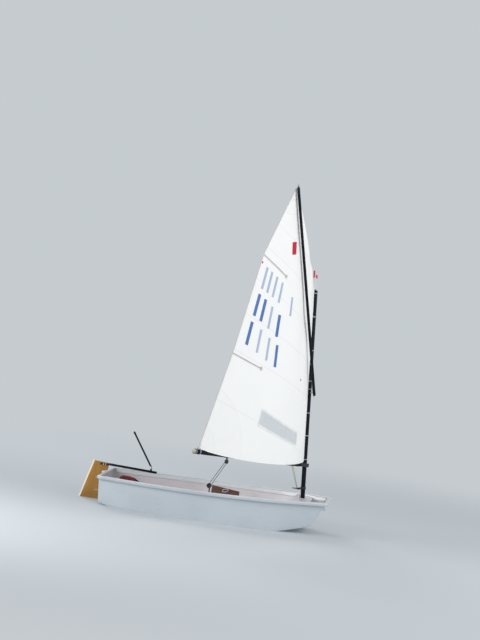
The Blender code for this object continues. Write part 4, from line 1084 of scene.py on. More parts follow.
@dataclass
class Hull:
    """The shell, its rail and what is built into it."""

    form: HullForm = field(default_factory=HullForm)
    chine: float = 0.016
    end_round: float = 0.012
    rail_out: float = 0.022
    rail_in: float = 0.008
    rail_top: float = 0.010
    rail_drop: float = 0.034
    rail_corner: float = 0.047
    rail_gap: float = 0.0005
    rail_radii: tuple[float, ...] = (0.007, 0.012, 0.006, 0.002, 0.001, 0.004)
    rail_runs: int = 40
    side_runs: int = 8
    floor_runs: int = 6
    sections: int = 48
    slot_ends: Pair = (1.108, 1.403)
    slot_half: float = 0.0125
    slot_depth: Pair = (-0.05, 0.10)
    inside_point: Point = (0.02, 0.0, 0.25)
    # Outward rail faces that tilt below this take the painted shade
    shade_tilt: float = 0.6

    def section(self, share: float, inset: float = 0.0, shift: float = 0.0) -> list[Vector]:
        """Return the outside of one section from the port sheer to the starboard sheer."""
        f = self.form
        low, high = f.section_ends(share)
        top = f.at(share, high - self.rail_top - f.seat, 1, inset, shift)
        corner = f.at(share, low + inset, 1, inset, shift)
        side = [top.yz.lerp(corner.yz, k / self.side_runs) for k in range(self.side_runs)]
        line = [*side, corner.yz, Vector((0.0, corner.z))]
        half = round_corners(line, [0.0] * self.side_runs + [self.chine, 0.0], 5, False)
        shares = [1 - k / self.floor_runs for k in range(1, self.floor_runs + 1)]
        half[-1:] = [Vector((half[-2].x * left, corner.z)) for left in shares]
        slope = (top.x - corner.x) / (top.z - corner.z)
        port = [Vector((corner.x + slope * (p.y - corner.z), p.x, p.y)) for p in half]
        return port + [Vector((p.x, -p.y, p.z)) for p in reversed(port[:-1])]

    def end_section(self, share: float, turn: float, way: int) -> list[Vector]:
        """Return a section of a rounded end; way is -1 at the stern and 1 at the bow."""
        inset = self.end_round * (1 - math.cos(turn))
        shift = self.form.seat + self.form.skin - self.end_round * (1 - math.sin(turn))
        return self.section(share, inset, way * shift)

    def build_shell(self) -> None:
        """Make the tub, with a rounded chine and rounded ends."""
        rings = [self.end_section(0.0, turn, -1) for turn in reversed(QUARTER)]
        rings += [self.section(k / self.sections) for k in range(1, self.sections)]
        rings += [self.end_section(1.0, turn, 1) for turn in QUARTER]
        shell = skin("hull_shell", rings, closed=False, angle=40.0)
        if min(shell.data.polygons, key=lambda face: face.center.z).normal.z > 0:
            shell.data.flip_normals()
        thicken(shell, self.form.skin, -1.0)
        slot = self.slot_tool()
        cut = shell.modifiers.new("slot", "BOOLEAN")
        cut.object = slot
        cut.operation = "DIFFERENCE"
        settle(shell, 40.0)
        bpy.data.objects.remove(slot)
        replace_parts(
            shell, "hull_bottom", "hull_side_port", "hull_side_starboard", "stern_transom", "bow_transom",
        )
        LOCKER.fit(shell, OUTER_GEL, Body.HULL)
        middle = Vector(self.inside_point)
        LOCKER.line(shell, INNER_GEL, lambda face: face.normal.dot(middle - face.center) > 0)

    def slot_tool(self) -> bpy.types.Object:
        """Make the tool that cuts the daggerboard's slot."""
        low, high = (self.form.fore(end) for end in self.slot_ends)
        half = self.slot_half
        corners = [(low, -half), (high, -half), (high, half), (low, half)]
        return skin("slot_tool", [[(x, y, self.form.up(z)) for x, y in corners] for z in self.slot_depth])

    def rail_path(self) -> list[Vector]:
        """Return the rail's outer edge as a closed line, with rounded corners."""
        f, last = self.form, self.rail_runs
        port = []
        for k in range(last + 1):
            point = f.at(k / last, f.section_ends(k / last)[1])
            port.append(Vector((point.x, point.y + self.rail_out)))
        port[0].x = f.fore(0.0)
        port[-1].x = f.fore(f.length)
        corners = [*port, *(Vector((p.x, -p.y)) for p in reversed(port))]
        radii = [0.0] * len(corners)
        ends = (0, last, last + 1, 2 * last + 1)
        for k in ends:
            radii[k] = self.rail_corner
        reach = self.rail_corner * 1.3
        near = [min((point - corners[k]).length for k in ends) < reach for point in corners]
        keep = [k for k in range(len(corners)) if radii[k] or not near[k]]
        return round_corners([corners[k] for k in keep], [radii[k] for k in keep], 8, True)

    def build_rail(self) -> None:
        """Make the rail as one rounded moulding round the whole sheer, with painted shade on its outward
        faces.
        """
        f = self.form
        wide = self.rail_out + f.skin + self.rail_in
        flange = self.rail_out - self.rail_gap
        corners = [
            (0.0, -self.rail_drop), (0.0, 0.0), (wide, 0.0),
            (wide, -self.rail_top), (flange, -self.rail_top), (flange, -self.rail_drop),
        ]
        profile = round_corners([Vector(c) for c in corners], self.rail_radii, 4, True)
        path = self.rail_path()
        count = len(path)
        rings = []
        for i, point in enumerate(path):
            run = (path[(i + 1) % count] - path[i - 1]).normalized()
            inward = Vector((-run.y, run.x))
            if inward.dot(point) > 0:
                inward = -inward
            ring = []
            for n, z in profile:
                place = point + inward * n
                height = f.sheer(min(max(place.x - f.stern_x, f.start), f.end))
                ring.append((place.x, place.y, f.up(height) + z))
            rings.append(ring)
        rings.append(rings[0])
        rail = skin("hull_rail", rings, caps=False, angle=50.0)
        bm = bmesh.new()
        bm.from_mesh(rail.data)
        bmesh.ops.remove_doubles(bm, verts=bm.verts, dist=1e-6)
        bmesh.ops.recalc_face_normals(bm, faces=bm.faces)
        bm.to_mesh(rail.data)
        bm.free()
        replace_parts(rail, "gunwale_port", "gunwale_starboard", "stern_rail", "bow_rail")
        LOCKER.fit(rail, RAIL_GEL, Body.HULL)

        def looks_out(face: bpy.types.MeshPolygon) -> bool:
            """Tell whether a face of the rail looks away from the boat, and so takes the painted shade."""
            return face.normal.z < self.shade_tilt and face.normal.xy.dot(face.center.xy) > 0

        # Painted shade on the rail's outward faces
        LOCKER.line(rail, RAIL_SHADE_GEL, looks_out)

    def build_flanges(self) -> None:
        """Make the moulding under the rail along the inside of each side."""
        f = self.form
        profile = (
            # in from the skin, down from the rail's top
            (0.0002, 0.0106), (0.0060, 0.0106), (0.0062, 0.043),
            (0.0052, 0.0475), (0.0030, 0.050), (0.0002, 0.050),
        )
        for side in Side:
            rings = []
            for k in range(61):
                share = 0.008 + 0.984 * k / 60
                high = f.section_ends(share)[1]
                ring = [f.at(share, high - drop, side.value, f.skin + depth) for depth, drop in profile]
                rings.append(ring)
            LOCKER.fit(skin(f"rail_flange_{side.word}", rings, angle=50.0), RAIL_GEL, Body.HULL)

    def build(self) -> None:
        """Build the shell, the rail and the moulding inside it."""
        self.build_shell()
        self.build_rail()
        self.build_flanges()


# Hard fittings that keep their solids' shapes

@dataclass(frozen=True)
class Fitting:
    """A node that is shown with its edges rounded."""

    node: str
    piece: str
    finish: Finish
    edge: float
    body: Body


FITTINGS = (
    # node, piece, finish, rounding, body
    Fitting("mast_thwart", "thwart", INNER_GEL, 0.003, Body.HULL),
    Fitting("mast_clamp", "clamp", GREY_PLASTIC, 0.003, Body.HULL),
    Fitting("mast_step", "step", GREY_PLASTIC, 0.004, Body.HULL),
    Fitting("midship_frame", "frame_across", INNER_GEL, 0.003, Body.HULL),
    Fitting("daggerboard_case", "board_case", INNER_GEL, 0.003, Body.HULL),
    Fitting("mainsheet_block_lower", "sheet_block_low", BLACK_PLASTIC, 0.0022, Body.HULL),
    Fitting("painter_eye", "bow_eye", BARE_ALLOY, 0.0010, Body.HULL),
    Fitting("transom_gudgeon_upper", "gudgeon_high", DULL_ALLOY, 0.0008, Body.HULL),
    Fitting("transom_gudgeon_lower", "gudgeon_low", DULL_ALLOY, 0.0008, Body.HULL),
    Fitting("rudder_pintle_upper", "pintle_high", DULL_ALLOY, 0.0006, Body.RUDDER),
    Fitting("rudder_pintle_lower", "pintle_low", DULL_ALLOY, 0.0006, Body.RUDDER),
    Fitting("extension_saddle", "saddle", BLACK_PLASTIC, 0.0010, Body.RUDDER),
    Fitting("universal_joint", "universal_fork", BRIGHT_ALLOY, 0.0010, Body.UNIVERSAL),
    Fitting("boom_jaw", "jaw", BLACK_PLASTIC, 0.0030, Body.RIG),
    Fitting("boom_end_cap", "boom_plug", BRASSY, 0.0015, Body.RIG),
    Fitting("mainsheet_block_upper", "sheet_block_high", BLACK_PLASTIC, 0.0020, Body.RIG),
    Fitting("vang_cleat", "vang_handle", BLACK_PLASTIC, 0.0015, Body.RIG),
    Fitting("sprit_strop", "strop", WHITE_CORD, 0.0010, Body.RIG),
)


def build_fittings() -> None:
    """Round the hard fittings and dress them."""
    for fitting in FITTINGS:
        LOCKER.fit(soften(fitting.node, fitting.piece, fitting.edge), fitting.finish, fitting.body)


# Rig

# The sprit's two ends in the rig's frame, and how far up the mast the luff is tied
SPRIT_HEEL = (0.004, 0.070, 0.686)
SPRIT_TIP = (0.806, 0.214, 2.790)
TIES_UP = (0.060, 0.300, 0.530, 0.770, 1.020, 1.160, 1.500, 1.738)


@dataclass
class RigFrame:
    """The rig's frame at the boom's jaws."""

    origin: Vector = field(default_factory=lambda: Vector((0.8621613, 0.0, 0.661)))
    rake: float = math.radians(4.62)
    swing: float = math.radians(62.5)
    lift: float = math.radians(6.6)

    def __post_init__(self) -> None:
        """Work out the three axes."""
        self.up = Vector((-math.sin(self.rake), 0.0, math.cos(self.rake)))
        aft = Vector((-math.cos(self.swing), -math.sin(self.swing), 0.0))
        self.out = (aft - self.up * aft.dot(self.up)).normalized()
        self.lee = self.up.cross(self.out)
        self.axes = np.array([self.out, self.lee, self.up])

    def at(self, u: float, n: float, m: float) -> Vector:
        """Return the world point of a place in the rig's frame."""
        return self.origin + self.out * u + self.lee * n + self.up * m

    def many(self, points: np.ndarray) -> np.ndarray:
        """Return the world points of many places."""
        return points @ self.axes + np.array(self.origin)

    def boom(self, reach: float, above: float = 0.0, lee: float = 0.0) -> Vector:
        """Return a world point along the boom's line, raised off it by above."""
        u = reach * math.cos(self.lift) - above * math.sin(self.lift)
        m = reach * math.sin(self.lift) + above * math.cos(self.lift)
        return self.at(u, lee, m)


@dataclass
class Spars:
    """The mast, boom and sprit with their small parts."""

    rig: RigFrame
    mast_radius: float = 0.0225
    mast_low: float = -0.58523
    mast_high: float = 1.76477
    rim: float = 0.003
    boom_radius: float = 0.023
    boom_length: float = 2.010
    jaw_reach: float = 0.1203
    boom_cap: float = 0.0303
    sprit_radius: float = 0.014
    sprit_plugs: Pair = (0.026, 0.038)
    pin_length: float = 0.042
    pin_radius: float = 0.0062

    def build_mast(self) -> None:
        """Make the mast's tube."""
        low, high = (self.rig.at(0, 0, end) for end in (self.mast_low, self.mast_high))
        mast = rounded_rod("mast_tube", low, high, self.mast_radius, self.rim)
        LOCKER.fit(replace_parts(mast, "mast"), BLACK_TUBE, Body.RIG)

    def build_boom(self) -> None:
        """Make the boom's tube."""
        r = self.rig
        end = self.boom_length - self.boom_cap
        boom = rounded_rod("boom_tube", r.boom(self.jaw_reach), r.boom(end), self.boom_radius, 0.001)
        LOCKER.fit(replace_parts(boom, "boom"), BLACK_TUBE, Body.RIG)

    def build_sprit(self) -> None:
        """Make the sprit with its narrow tip and its heel plug."""
        heel, tip = self.rig.at(*SPRIT_HEEL), self.rig.at(*SPRIT_TIP)
        run = (tip - heel).normalized()
        low, high = heel + run * self.sprit_plugs[0], tip - run * self.sprit_plugs[1]
        pole = rounded_rod("sprit_tube", low, high, self.sprit_radius, self.rim)
        LOCKER.fit(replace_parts(pole, "sprit"), BLACK_TUBE, Body.RIG)
        pin = rounded_rod("sprit_pin", tip - run * self.pin_length, tip, self.pin_radius, 0.002, 20)
        LOCKER.fit(pin, BARE_ALLOY, Body.RIG)
        path = [heel + run * place for place in (0.0, 0.006, 0.020, 0.034)]
        plug = tube("sprit_plug", path, lambda t: 0.0060 + 0.0065 * min(1.0, t * 1.8), 24)
        LOCKER.fit(plug, PALE_PLASTIC, Body.RIG)

    def build_vane(self) -> None:
        """Make the wind vane: its foot, pale stalk and red blade."""
        r, top = self.rig, self.mast_high
        foot = rounded_rod("vane_foot", r.at(0, 0, top + 0.0003), r.at(0, 0, top + 0.011), 0.009, 0.002, 24)
        LOCKER.fit(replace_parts(foot, "wind_vane"), BLACK_PLASTIC, Body.RIG)
        stalk = [r.at(0, 0, top + z) for z in (0.010, 0.07, 0.131)]
        LOCKER.fit(tube("vane_stalk", stalk, 0.0024, 12), PALE_PLASTIC, Body.RIG)
        arm = [r.at(u, 0, top + 0.130 + u * 0.1) for u in (-0.012, 0.0, 0.02, 0.044)]
        LOCKER.fit(tube("vane_arm", arm, 0.0016, 10), PALE_PLASTIC, Body.RIG)
        blades = (
            # name, corners as (out along the boom's way, above the mast)
            ("vane_blade", ((0.024, 0.130), (0.058, 0.128), (0.060, 0.200), (0.028, 0.202))),
            ("vane_tail", ((-0.026, 0.120), (0.008, 0.124), (0.006, 0.162), (-0.022, 0.156))),
        )
        for name, corners in blades:
            shape = rounded_plate(corners, 0.004)
            centre = sum(shape, Vector((0.0, 0.0))) / len(shape)
            rings = []
            for n, size in ((-0.0016, 0.9), (-0.0008, 1.0), (0.0008, 1.0), (0.0016, 0.9)):
                places = [centre + (p - centre) * size for p in shape]
                rings.append([r.at(p.x, n, top + p.y) for p in places])
            LOCKER.fit(skin(name, rings), VANE_RED, Body.RIG)

    def build(self) -> None:
        """Build all the spars."""
        self.build_mast()
        self.build_boom()
        self.build_sprit()
        self.build_vane()


@dataclass
class Sail:
    """The sail as one curved sheet, with its window, battens and marks."""

    rig: RigFrame
    luff_out: float = 0.0233
    tack_up: float = 0.042
    throat_up: float = 1.74803
    foot_round: float = 0.070
    foot_shape: float = 0.75
    head_round: float = 0.025
    head_flat: float = 0.036
    head_power: int = 16
    edge_power: int = 4
    belly: float = 0.120
    belly_loss: float = 0.60
    belly_aft: float = 0.8
    thick: float = 0.0012
    columns: int = 112
    window_rows: tuple[float, float] = (0.122, 0.178)
    window_columns: tuple[int, int] = (19, 68)
    window_middle: float = 0.387
    window_slant: float = 0.115
    window_slant_end: float = 0.30
    leech: tuple[tuple[float, float, float, float], ...] = (
        (0.00, 1.932, 0.000, 0.258),
        (0.36, 1.530, 0.060, 1.170),
        (0.74, 1.170, 0.105, 2.100),
        (1.00, 0.792, 0.186, 2.748),
    )
    luff_folds: tuple[tuple[float, float, float, float], ...] = (
        # share across at the foot, width, height, share up where it starts
        (0.10, 0.045, 0.006, 0.25),
        (0.20, 0.05, -0.004, 0.30),
    )
    fold_slant: float = 0.10
    fold_rise: float = 0.3
    tie_pull: float = 0.0016
    tie_waves: float = 7.0
    fan_width: float = 1.9
    fan_stretch: float = 2.2
    fans: tuple[tuple[float, float, int, float, float], ...] = (
        # corner out and up, folds in a full turn, depth, reach
        (1.9, 0.0, 15, 0.0030, 0.35),
        (0.0, 0.0, 11, 0.0022, 0.22),
        (0.0, 1.0, 11, 0.0020, 0.20),
        (1.9, 1.0, 9, 0.0018, 0.22),
    )

    def calm(self, s: np.ndarray, v: np.ndarray) -> np.ndarray:
        """Return the cloth's middle without creases, in the rig's frame.

        Args:
            s: Shares from luff to leech.
            v: Shares from foot to head.

        Returns:
            An array of (u, n, m), one row for each pair.
        """
        stops = [row[0] for row in self.leech]
        edge = [np.interp(v, stops, [row[k] for row in self.leech]) for k in (1, 2, 3)]
        bow = np.clip(4 * s * (1 - s), 0, None)
        u = self.luff_out + (edge[0] - self.luff_out) * s
        full = self.belly * (1 - self.belly_loss * v)
        flat_head = self.head_flat * v ** self.head_power * np.sqrt(np.clip(1 - s, 0, None))
        n = edge[1] * s + (full - flat_head) * np.sin(np.pi * s ** self.belly_aft)
        luff = self.tack_up + (self.throat_up - self.tack_up) * v
        round_up = bow * self.head_round * v ** self.edge_power
        round_down = bow ** self.foot_shape * self.foot_round * (1 - v) ** self.edge_power
        m = luff + (edge[2] - luff) * s + round_up - round_down
        return np.stack([u, n, m], axis=-1)

    def crease(self, s: np.ndarray, v: np.ndarray) -> np.ndarray:
        """Return how far creases push the cloth to leeward."""
        rise = np.zeros_like(s)
        for place, width, height, start in self.luff_folds:
            fold = np.exp(-((s - place - self.fold_slant * v) / width) ** 2)
            rise += height * fold * np.clip((v - start) / self.fold_rise, 0, 1)
        ties = self.tie_pull * np.sin(v * 2 * np.pi * self.tie_waves) * np.exp(-s / 0.05)
        rise += ties * (1 - np.exp(-s / 0.01))
        for cu, cm, count, size, reach in self.fans:
            du, dm = s * self.fan_width - cu, (v - cm) * self.fan_stretch
            away = np.hypot(du, dm)
            turn = np.arctan2(dm, du + 1e-9)
            fade = np.exp(-away / reach) * np.clip(away / 0.05, 0, 1)
            rise += size * np.sin(turn * count) * fade
        rim = np.clip((1 - s) / 0.03, 0, 1) * np.clip(s / 0.01, 0, 1)
        return rise * rim

    def surface(self, s: np.ndarray, v: np.ndarray, off: float = 0.0) -> np.ndarray:
        """Return world points of the cloth, moved off its middle to leeward.

        Args:
            s: Shares from luff to leech.
            v: Shares from foot to head.
            off: How far to leeward, in metres.

        Returns:
            An array of world points.
        """
        s, v = np.asarray(s, float), np.asarray(v, float)
        local = self.calm(s, v)
        step = 1e-3
        along = self.calm(np.clip(s + step, 0, 1), v) - self.calm(np.clip(s - step, 0, 1), v)
        rise = self.calm(s, np.clip(v + step, 0, 1)) - self.calm(s, np.clip(v - step, 0, 1))
        normal = np.cross(rise, along)
        normal /= np.linalg.norm(normal, axis=-1, keepdims=True)
        normal *= np.sign(normal[..., 1:2])
        return self.rig.many(local + normal * (self.crease(s, v) + off)[..., None])

    def slant(self, s: np.ndarray, row: np.ndarray) -> np.ndarray:
        """Return the share up of a row at shares across; rows by the window slant with it."""
        low, high = self.window_rows
        below = row / low
        above = np.clip((self.window_slant_end - row) / (self.window_slant_end - high), 0, 1)
        return row + self.window_slant * (s - self.window_middle) * np.where(row < low, below, above)

    def rows(self) -> np.ndarray:
        """Return the shares of the rows, with the window's edges among them."""
        low, high = self.window_rows
        return np.concatenate([
            np.linspace(0, low, 18, endpoint=False), np.linspace(low, high, 9, endpoint=False),
            np.linspace(high, 1, 125),
        ])

    def sheet(
        self,
        name: str,
        s: np.ndarray,
        v: np.ndarray,
        off: float,
        thick: float,
        hole: Callable[[int, int], bool] | None = None,
    ) -> bpy.types.Object:
        """Make a piece of cloth over shares of the sail, with its two UV maps.

        Args:
            name: The piece's name.
            s: A grid of shares from luff to leech.
            v: A grid of shares from foot to head.
            off: How far its middle lies to leeward of the sail's middle.
            thick: Its thickness.
            hole: Tells which cells are left open, by column and row.

        Returns:
            The new object.
        """
        points = self.surface(s, v, off)
        flat = self.calm(s, v)
        count_v, count_s = s.shape
        bm = bmesh.new()
        verts = [[bm.verts.new(points[j, i]) for i in range(count_s)] for j in range(count_v)]
        plan = bm.loops.layers.uv.new("flat")
        share = bm.loops.layers.uv.new("share")
        for j in range(count_v - 1):
            for i in range(count_s - 1):
                if hole and hole(i, j):
                    continue
                cell = ((j, i), (j, i + 1), (j + 1, i + 1), (j + 1, i))
                face = bm.faces.new([verts[a][b] for a, b in cell])
                for loop, (a, b) in zip(face.loops, cell):
                    loop[plan].uv = (flat[a, b, 0], flat[a, b, 2])
                    loop[share].uv = (s[a, b], v[a, b])
        loose = [vert for vert in bm.verts if not vert.link_faces]
        bmesh.ops.delete(bm, geom=loose, context="VERTS")
        obj = link(name, bm, 60.0)
        thicken(obj, thick, 0.0)
        return settle(obj, 60.0)

    def build_cloth(self) -> bpy.types.Object:
        """Make the sail with a hole for its window."""
        shares = np.linspace(0, 1, self.columns + 1)
        rows = self.rows()
        s, row = np.meshgrid(shares, rows)
        v = self.slant(s, row)
        low, high = self.window_rows
        first, last = self.window_columns
        cloth = SailCloth(
            "sailcloth",
            seams=(
                Seam((0.02, 0.08), (1.70, 0.70)),
                Seam((0.02, 0.66), (1.47, 1.16)),
                Seam((0.02, 1.00), (1.32, 1.50)),
                Seam((0.02, 1.33), (1.17, 1.82)),
                Seam((0.02, 1.64), (1.01, 2.11)),
                Seam((0.30, 2.06), (0.92, 2.35)),
            ),
            patches=(
                Patch((1.932, 0.258), (0.22, 0.60)),
                Patch((0.023, 0.042), (0.12, 0.22)),
                Patch((0.023, 1.748), (0.09, 0.15)),
                Patch((0.792, 2.748), (0.11, 0.12, 0.26)),
            ),
        )
        obj = self.sheet(
            "sail_cloth", s, v, 0.0, self.thick,
            lambda i, j: first <= i < last and low - 1e-6 <= rows[j] and rows[j + 1] <= high + 1e-6,
        )
        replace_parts(obj, "sail", "batten_upper", "batten_lower")
        return LOCKER.fit(obj, cloth, Body.RIG)

    def ribbon(
        self,
        name: str,
        corners: Sequence[Pair],
        finish: Finish,
        off: float,
        cells: tuple[int, int] = (12, 3),
        thick: float = 0.0006,
    ) -> bpy.types.Object:
        """Lay a four-cornered patch on the sail.

        Args:
            name: The piece's name.
            corners: Its corners as (share across, share up), in order round it.
            finish: Its finish.
            off: How far to leeward it lies.
            cells: How finely it follows the cloth, along and across.
            thick: Its thickness.

        Returns:
            The new object.
        """
        a, b, c, d = (np.array(corner) for corner in corners)
        along, up = np.meshgrid(np.linspace(0, 1, cells[0] + 1), np.linspace(0, 1, cells[1] + 1))
        grid = (
            a * ((1 - along) * (1 - up))[..., None] + b * (along * (1 - up))[..., None]
            + c * (along * up)[..., None] + d * ((1 - along) * up)[..., None]
        )
        return LOCKER.fit(self.sheet(name, grid[..., 0], grid[..., 1], off, thick), finish, Body.RIG)

    def share_of(self, u: float, m: float) -> Pair:
        """Return the shares whose calm place has these coordinates."""
        s, v = 0.5, 0.5
        for _ in range(60):
            here = self.calm(np.array(s), np.array(v))
            ds_step = 1e-4 if s < 0.5 else -1e-4
            dv_step = 1e-4 if v < 0.5 else -1e-4
            ds = (self.calm(np.array(s + ds_step), np.array(v)) - here) / ds_step
            dv = (self.calm(np.array(s), np.array(v + dv_step)) - here) / dv_step
            jacobian = np.array([[ds[0], dv[0]], [ds[2], dv[2]]])
            move = np.linalg.solve(jacobian, np.array([u - here[0], m - here[2]]))
            s, v = float(np.clip(s + move[0] * 0.8, 0, 1)), float(np.clip(v + move[1] * 0.8, 0, 1))
        return s, v

    def band(
        self,
        name: str,
        start: Point,
        end: Point,
        width: float,
        finish: Finish,
        off: float,
        cells: tuple[int, int] = (10, 2),
        thick: float = 0.0006,
    ) -> bpy.types.Object:
        """Lay a straight band on the sail between two places given as shares.

        Args:
            name: The piece's name.
            start: Its first end, (share across, share up).
            end: Its last end.
            width: Its width in metres.
            finish: Its finish.
            off: How far to leeward it lies.
            cells: How finely it follows the cloth.
            thick: Its thickness.

        Returns:
            The new object.
        """
        first, last = (self.calm(np.array(float(s)), np.array(float(v))) for s, v in (start, end))
        run = np.array((last[0] - first[0], last[2] - first[2]))
        across = np.array((-run[1], run[0])) / np.linalg.norm(run) * width / 2
        corners = []
        for place, sign in ((first, -1), (last, -1), (last, 1), (first, 1)):
            corners.append(self.share_of(place[0] + across[0] * sign, place[2] + across[1] * sign))
        return self.ribbon(name, corners, finish, off, cells, thick)

    def build_window(self) -> list[bpy.types.Object]:
        """Make the film and the taped edge round it."""
        low, high = self.window_rows
        s0, s1 = (c / self.columns for c in self.window_columns)

        def corners(sa: float, ra: float, sb: float, rb: float) -> list[Pair]:
            """Return the shares of a patch's corners, from its low left and high right."""
            places = ((sa, ra), (sb, ra), (sb, rb), (sa, rb))
            return [(s, float(self.slant(np.array(s), np.array(row)))) for s, row in places]

        pad, hem = 0.005, 0.009
        whole = corners(s0 - pad, low - pad, s1 + pad, high + pad)
        film = self.ribbon("window_film", whole, WINDOW_FILM, -0.0013, (48, 10), 0.0005)
        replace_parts(film, "sail_window")
        made = [film]
        strips = (
            # name, low left, high right, cells
            ("low", (s0 - hem, low - hem), (s1 + hem, low + 0.0005), (48, 2)),
            ("high", (s0 - hem, high - 0.0005), (s1 + hem, high + hem), (48, 2)),
            ("fore", (s0 - hem, low), (s0 + 0.0008, high), (3, 10)),
            ("aft", (s1 - 0.0008, low), (s1 + hem, high), (3, 10)),
        )
        for word, first, last, cells in strips:
            whole = corners(*first, *last)
            made.append(self.ribbon(f"window_tape_{word}", whole, TAPE_CLOTH, 0.0014, cells))
        return made

    def build_battens(self) -> list[bpy.types.Object]:
        """Make the batten pockets, each with a dark patch at its inner end."""
        made = []
        rows = (
            # name, inner end, leech end
            ("lower", (0.700, 0.353), (0.996, 0.350)),
            ("upper", (0.660, 0.760), (0.996, 0.735)),
        )
        layers = (
            # name, share of the length, width, finish, off, cells, thickness
            ("pocket", 1.0, 0.024, TAPE_CLOTH, 0.0016, (30, 2), 0.0012),
            ("rod", 1.0, 0.0075, BATTEN_EDGE, 0.0026, (30, 2), 0.0010),
            ("patch", 0.07, 0.034, BATTEN_PATCH, 0.0032, (4, 3), 0.0008),
        )
        for word, inner, outer in rows:
            for layer, part, *looks in layers:
                stop = tuple(a + (b - a) * part for a, b in zip(inner, outer))
                made.append(self.band(f"batten_{layer}_{word}", inner, stop, *looks))
        return made

    def build_marks(self) -> list[bpy.types.Object]:
        """Lay plain slanted bars, a lozenge and two spots where a sail carries its marks, each bar with
        painted show-through on its other face.
        """
        made = []
        half = 0.0009 + self.thick / 2
        bars = (
            # share across at the top and foot, share up at the top and foot, width, printed on the far face
            # and seen through the cloth as painted light on the near face
            (0.912, 0.908, 0.712, 0.626, 0.034, True),
            (0.846, 0.842, 0.716, 0.632, 0.034, True),
            (0.772, 0.770, 0.722, 0.636, 0.034, True),
            (0.690, 0.686, 0.726, 0.640, 0.034, True),
            (0.912, 0.908, 0.604, 0.518, 0.044, False),
            (0.836, 0.830, 0.606, 0.518, 0.044, False),
            (0.744, 0.734, 0.604, 0.514, 0.034, True),
            (0.640, 0.626, 0.602, 0.510, 0.048, False),
            (0.908, 0.902, 0.494, 0.404, 0.044, False),
            (0.800, 0.788, 0.492, 0.400, 0.034, True),
            (0.696, 0.680, 0.486, 0.394, 0.034, True),
            (0.596, 0.576, 0.482, 0.390, 0.044, False),
            (0.520, 0.504, 0.724, 0.642, 0.034, True),
        )
        for k, (s_top, s_foot, v_top, v_foot, width, through) in enumerate(bars):
            # The face without the print gets the painted show-through of light from behind
            front, back = (SHOW_THROUGH_MARK, BLUE_MARK) if through else (BLUE_MARK, SHOW_THROUGH_MARK)
            for word, finish, off in (("bar", front, half), ("back", back, -half)):
                name = f"mark_{word}_{k:02d}"
                made.append(self.band(name, (s_top, v_top), (s_foot, v_foot), width, finish, off))
        lozenge = [(0.640, 0.868), (0.690, 0.846), (0.745, 0.878), (0.690, 0.902)]
        for name, off in (("mark_lozenge", half), ("mark_lozenge_back", -half)):
            made.append(self.ribbon(name, lozenge, RED_MARK, off, (8, 8)))
        for k, (s, v) in enumerate(((0.203, 0.424), (0.985, 0.708))):
            made.append(self.spot(f"mark_spot_{k}", s, v, 0.011, half))
        return made

    def spot(self, name: str, s: float, v: float, radius: float, off: float) -> bpy.types.Object:
        """Stick a small round red patch on the cloth.

        Args:
            name: The piece's name.
            s: Its middle's share across.
            v: Its middle's share up.
            radius: Its radius in metres.
            off: How far to leeward it lies.

        Returns:
            The new object.
        """
        u, _, m = self.calm(np.array(s), np.array(v))
        turns = full_turn(24)[:-1]
        ring = [self.share_of(u + radius * math.cos(turn), m + radius * math.sin(turn)) for turn in turns]
        shares = np.array(ring)
        faces = (off - 0.0002, off + 0.0004)
        rings = [self.surface(shares[:, 0], shares[:, 1], place).tolist() for place in faces]
        return LOCKER.fit(skin(name, rings), RED_MARK, Body.RIG)

    def eyelet(self, name: str, s: float, v: float, radius: float = 0.0065) -> bpy.types.Object:
        """Set an alloy eyelet through the cloth.

        Args:
            name: The piece's name.
            s: Its share across.
            v: Its share up.
            radius: Its middle radius.

        Returns:
            The new object.
        """
        middle = self.calm(np.array(s), np.array(v))
        rings = []
        for turn in full_turn(24):
            ring = []
            for bend in full_turn(8)[:-1]:
                size = radius + 0.0020 * math.cos(bend)
                place = (math.cos(turn) * size, 0.0022 * math.sin(bend), math.sin(turn) * size)
                ring.append(Vector(self.rig.many(middle + np.array(place))))
            rings.append(ring)
        return LOCKER.fit(skin(name, rings, caps=False, angle=60.0), BARE_ALLOY, Body.RIG)

    def build(self) -> None:
        cloth = self.build_cloth()
        on_it = [*self.build_window(), *self.build_battens(), *self.build_marks()]
        for k, v in enumerate(TIES_UP):
            share = (v - self.tack_up) / (self.throat_up - self.tack_up)
            on_it.append(self.eyelet(f"luff_eyelet_{k}", 0.0085, share))
        on_it.append(self.eyelet("clew_eyelet", 0.988, 0.012, 0.009))
        on_it.append(self.eyelet("peak_eyelet", 0.965, 0.985, 0.008))


# Ropes

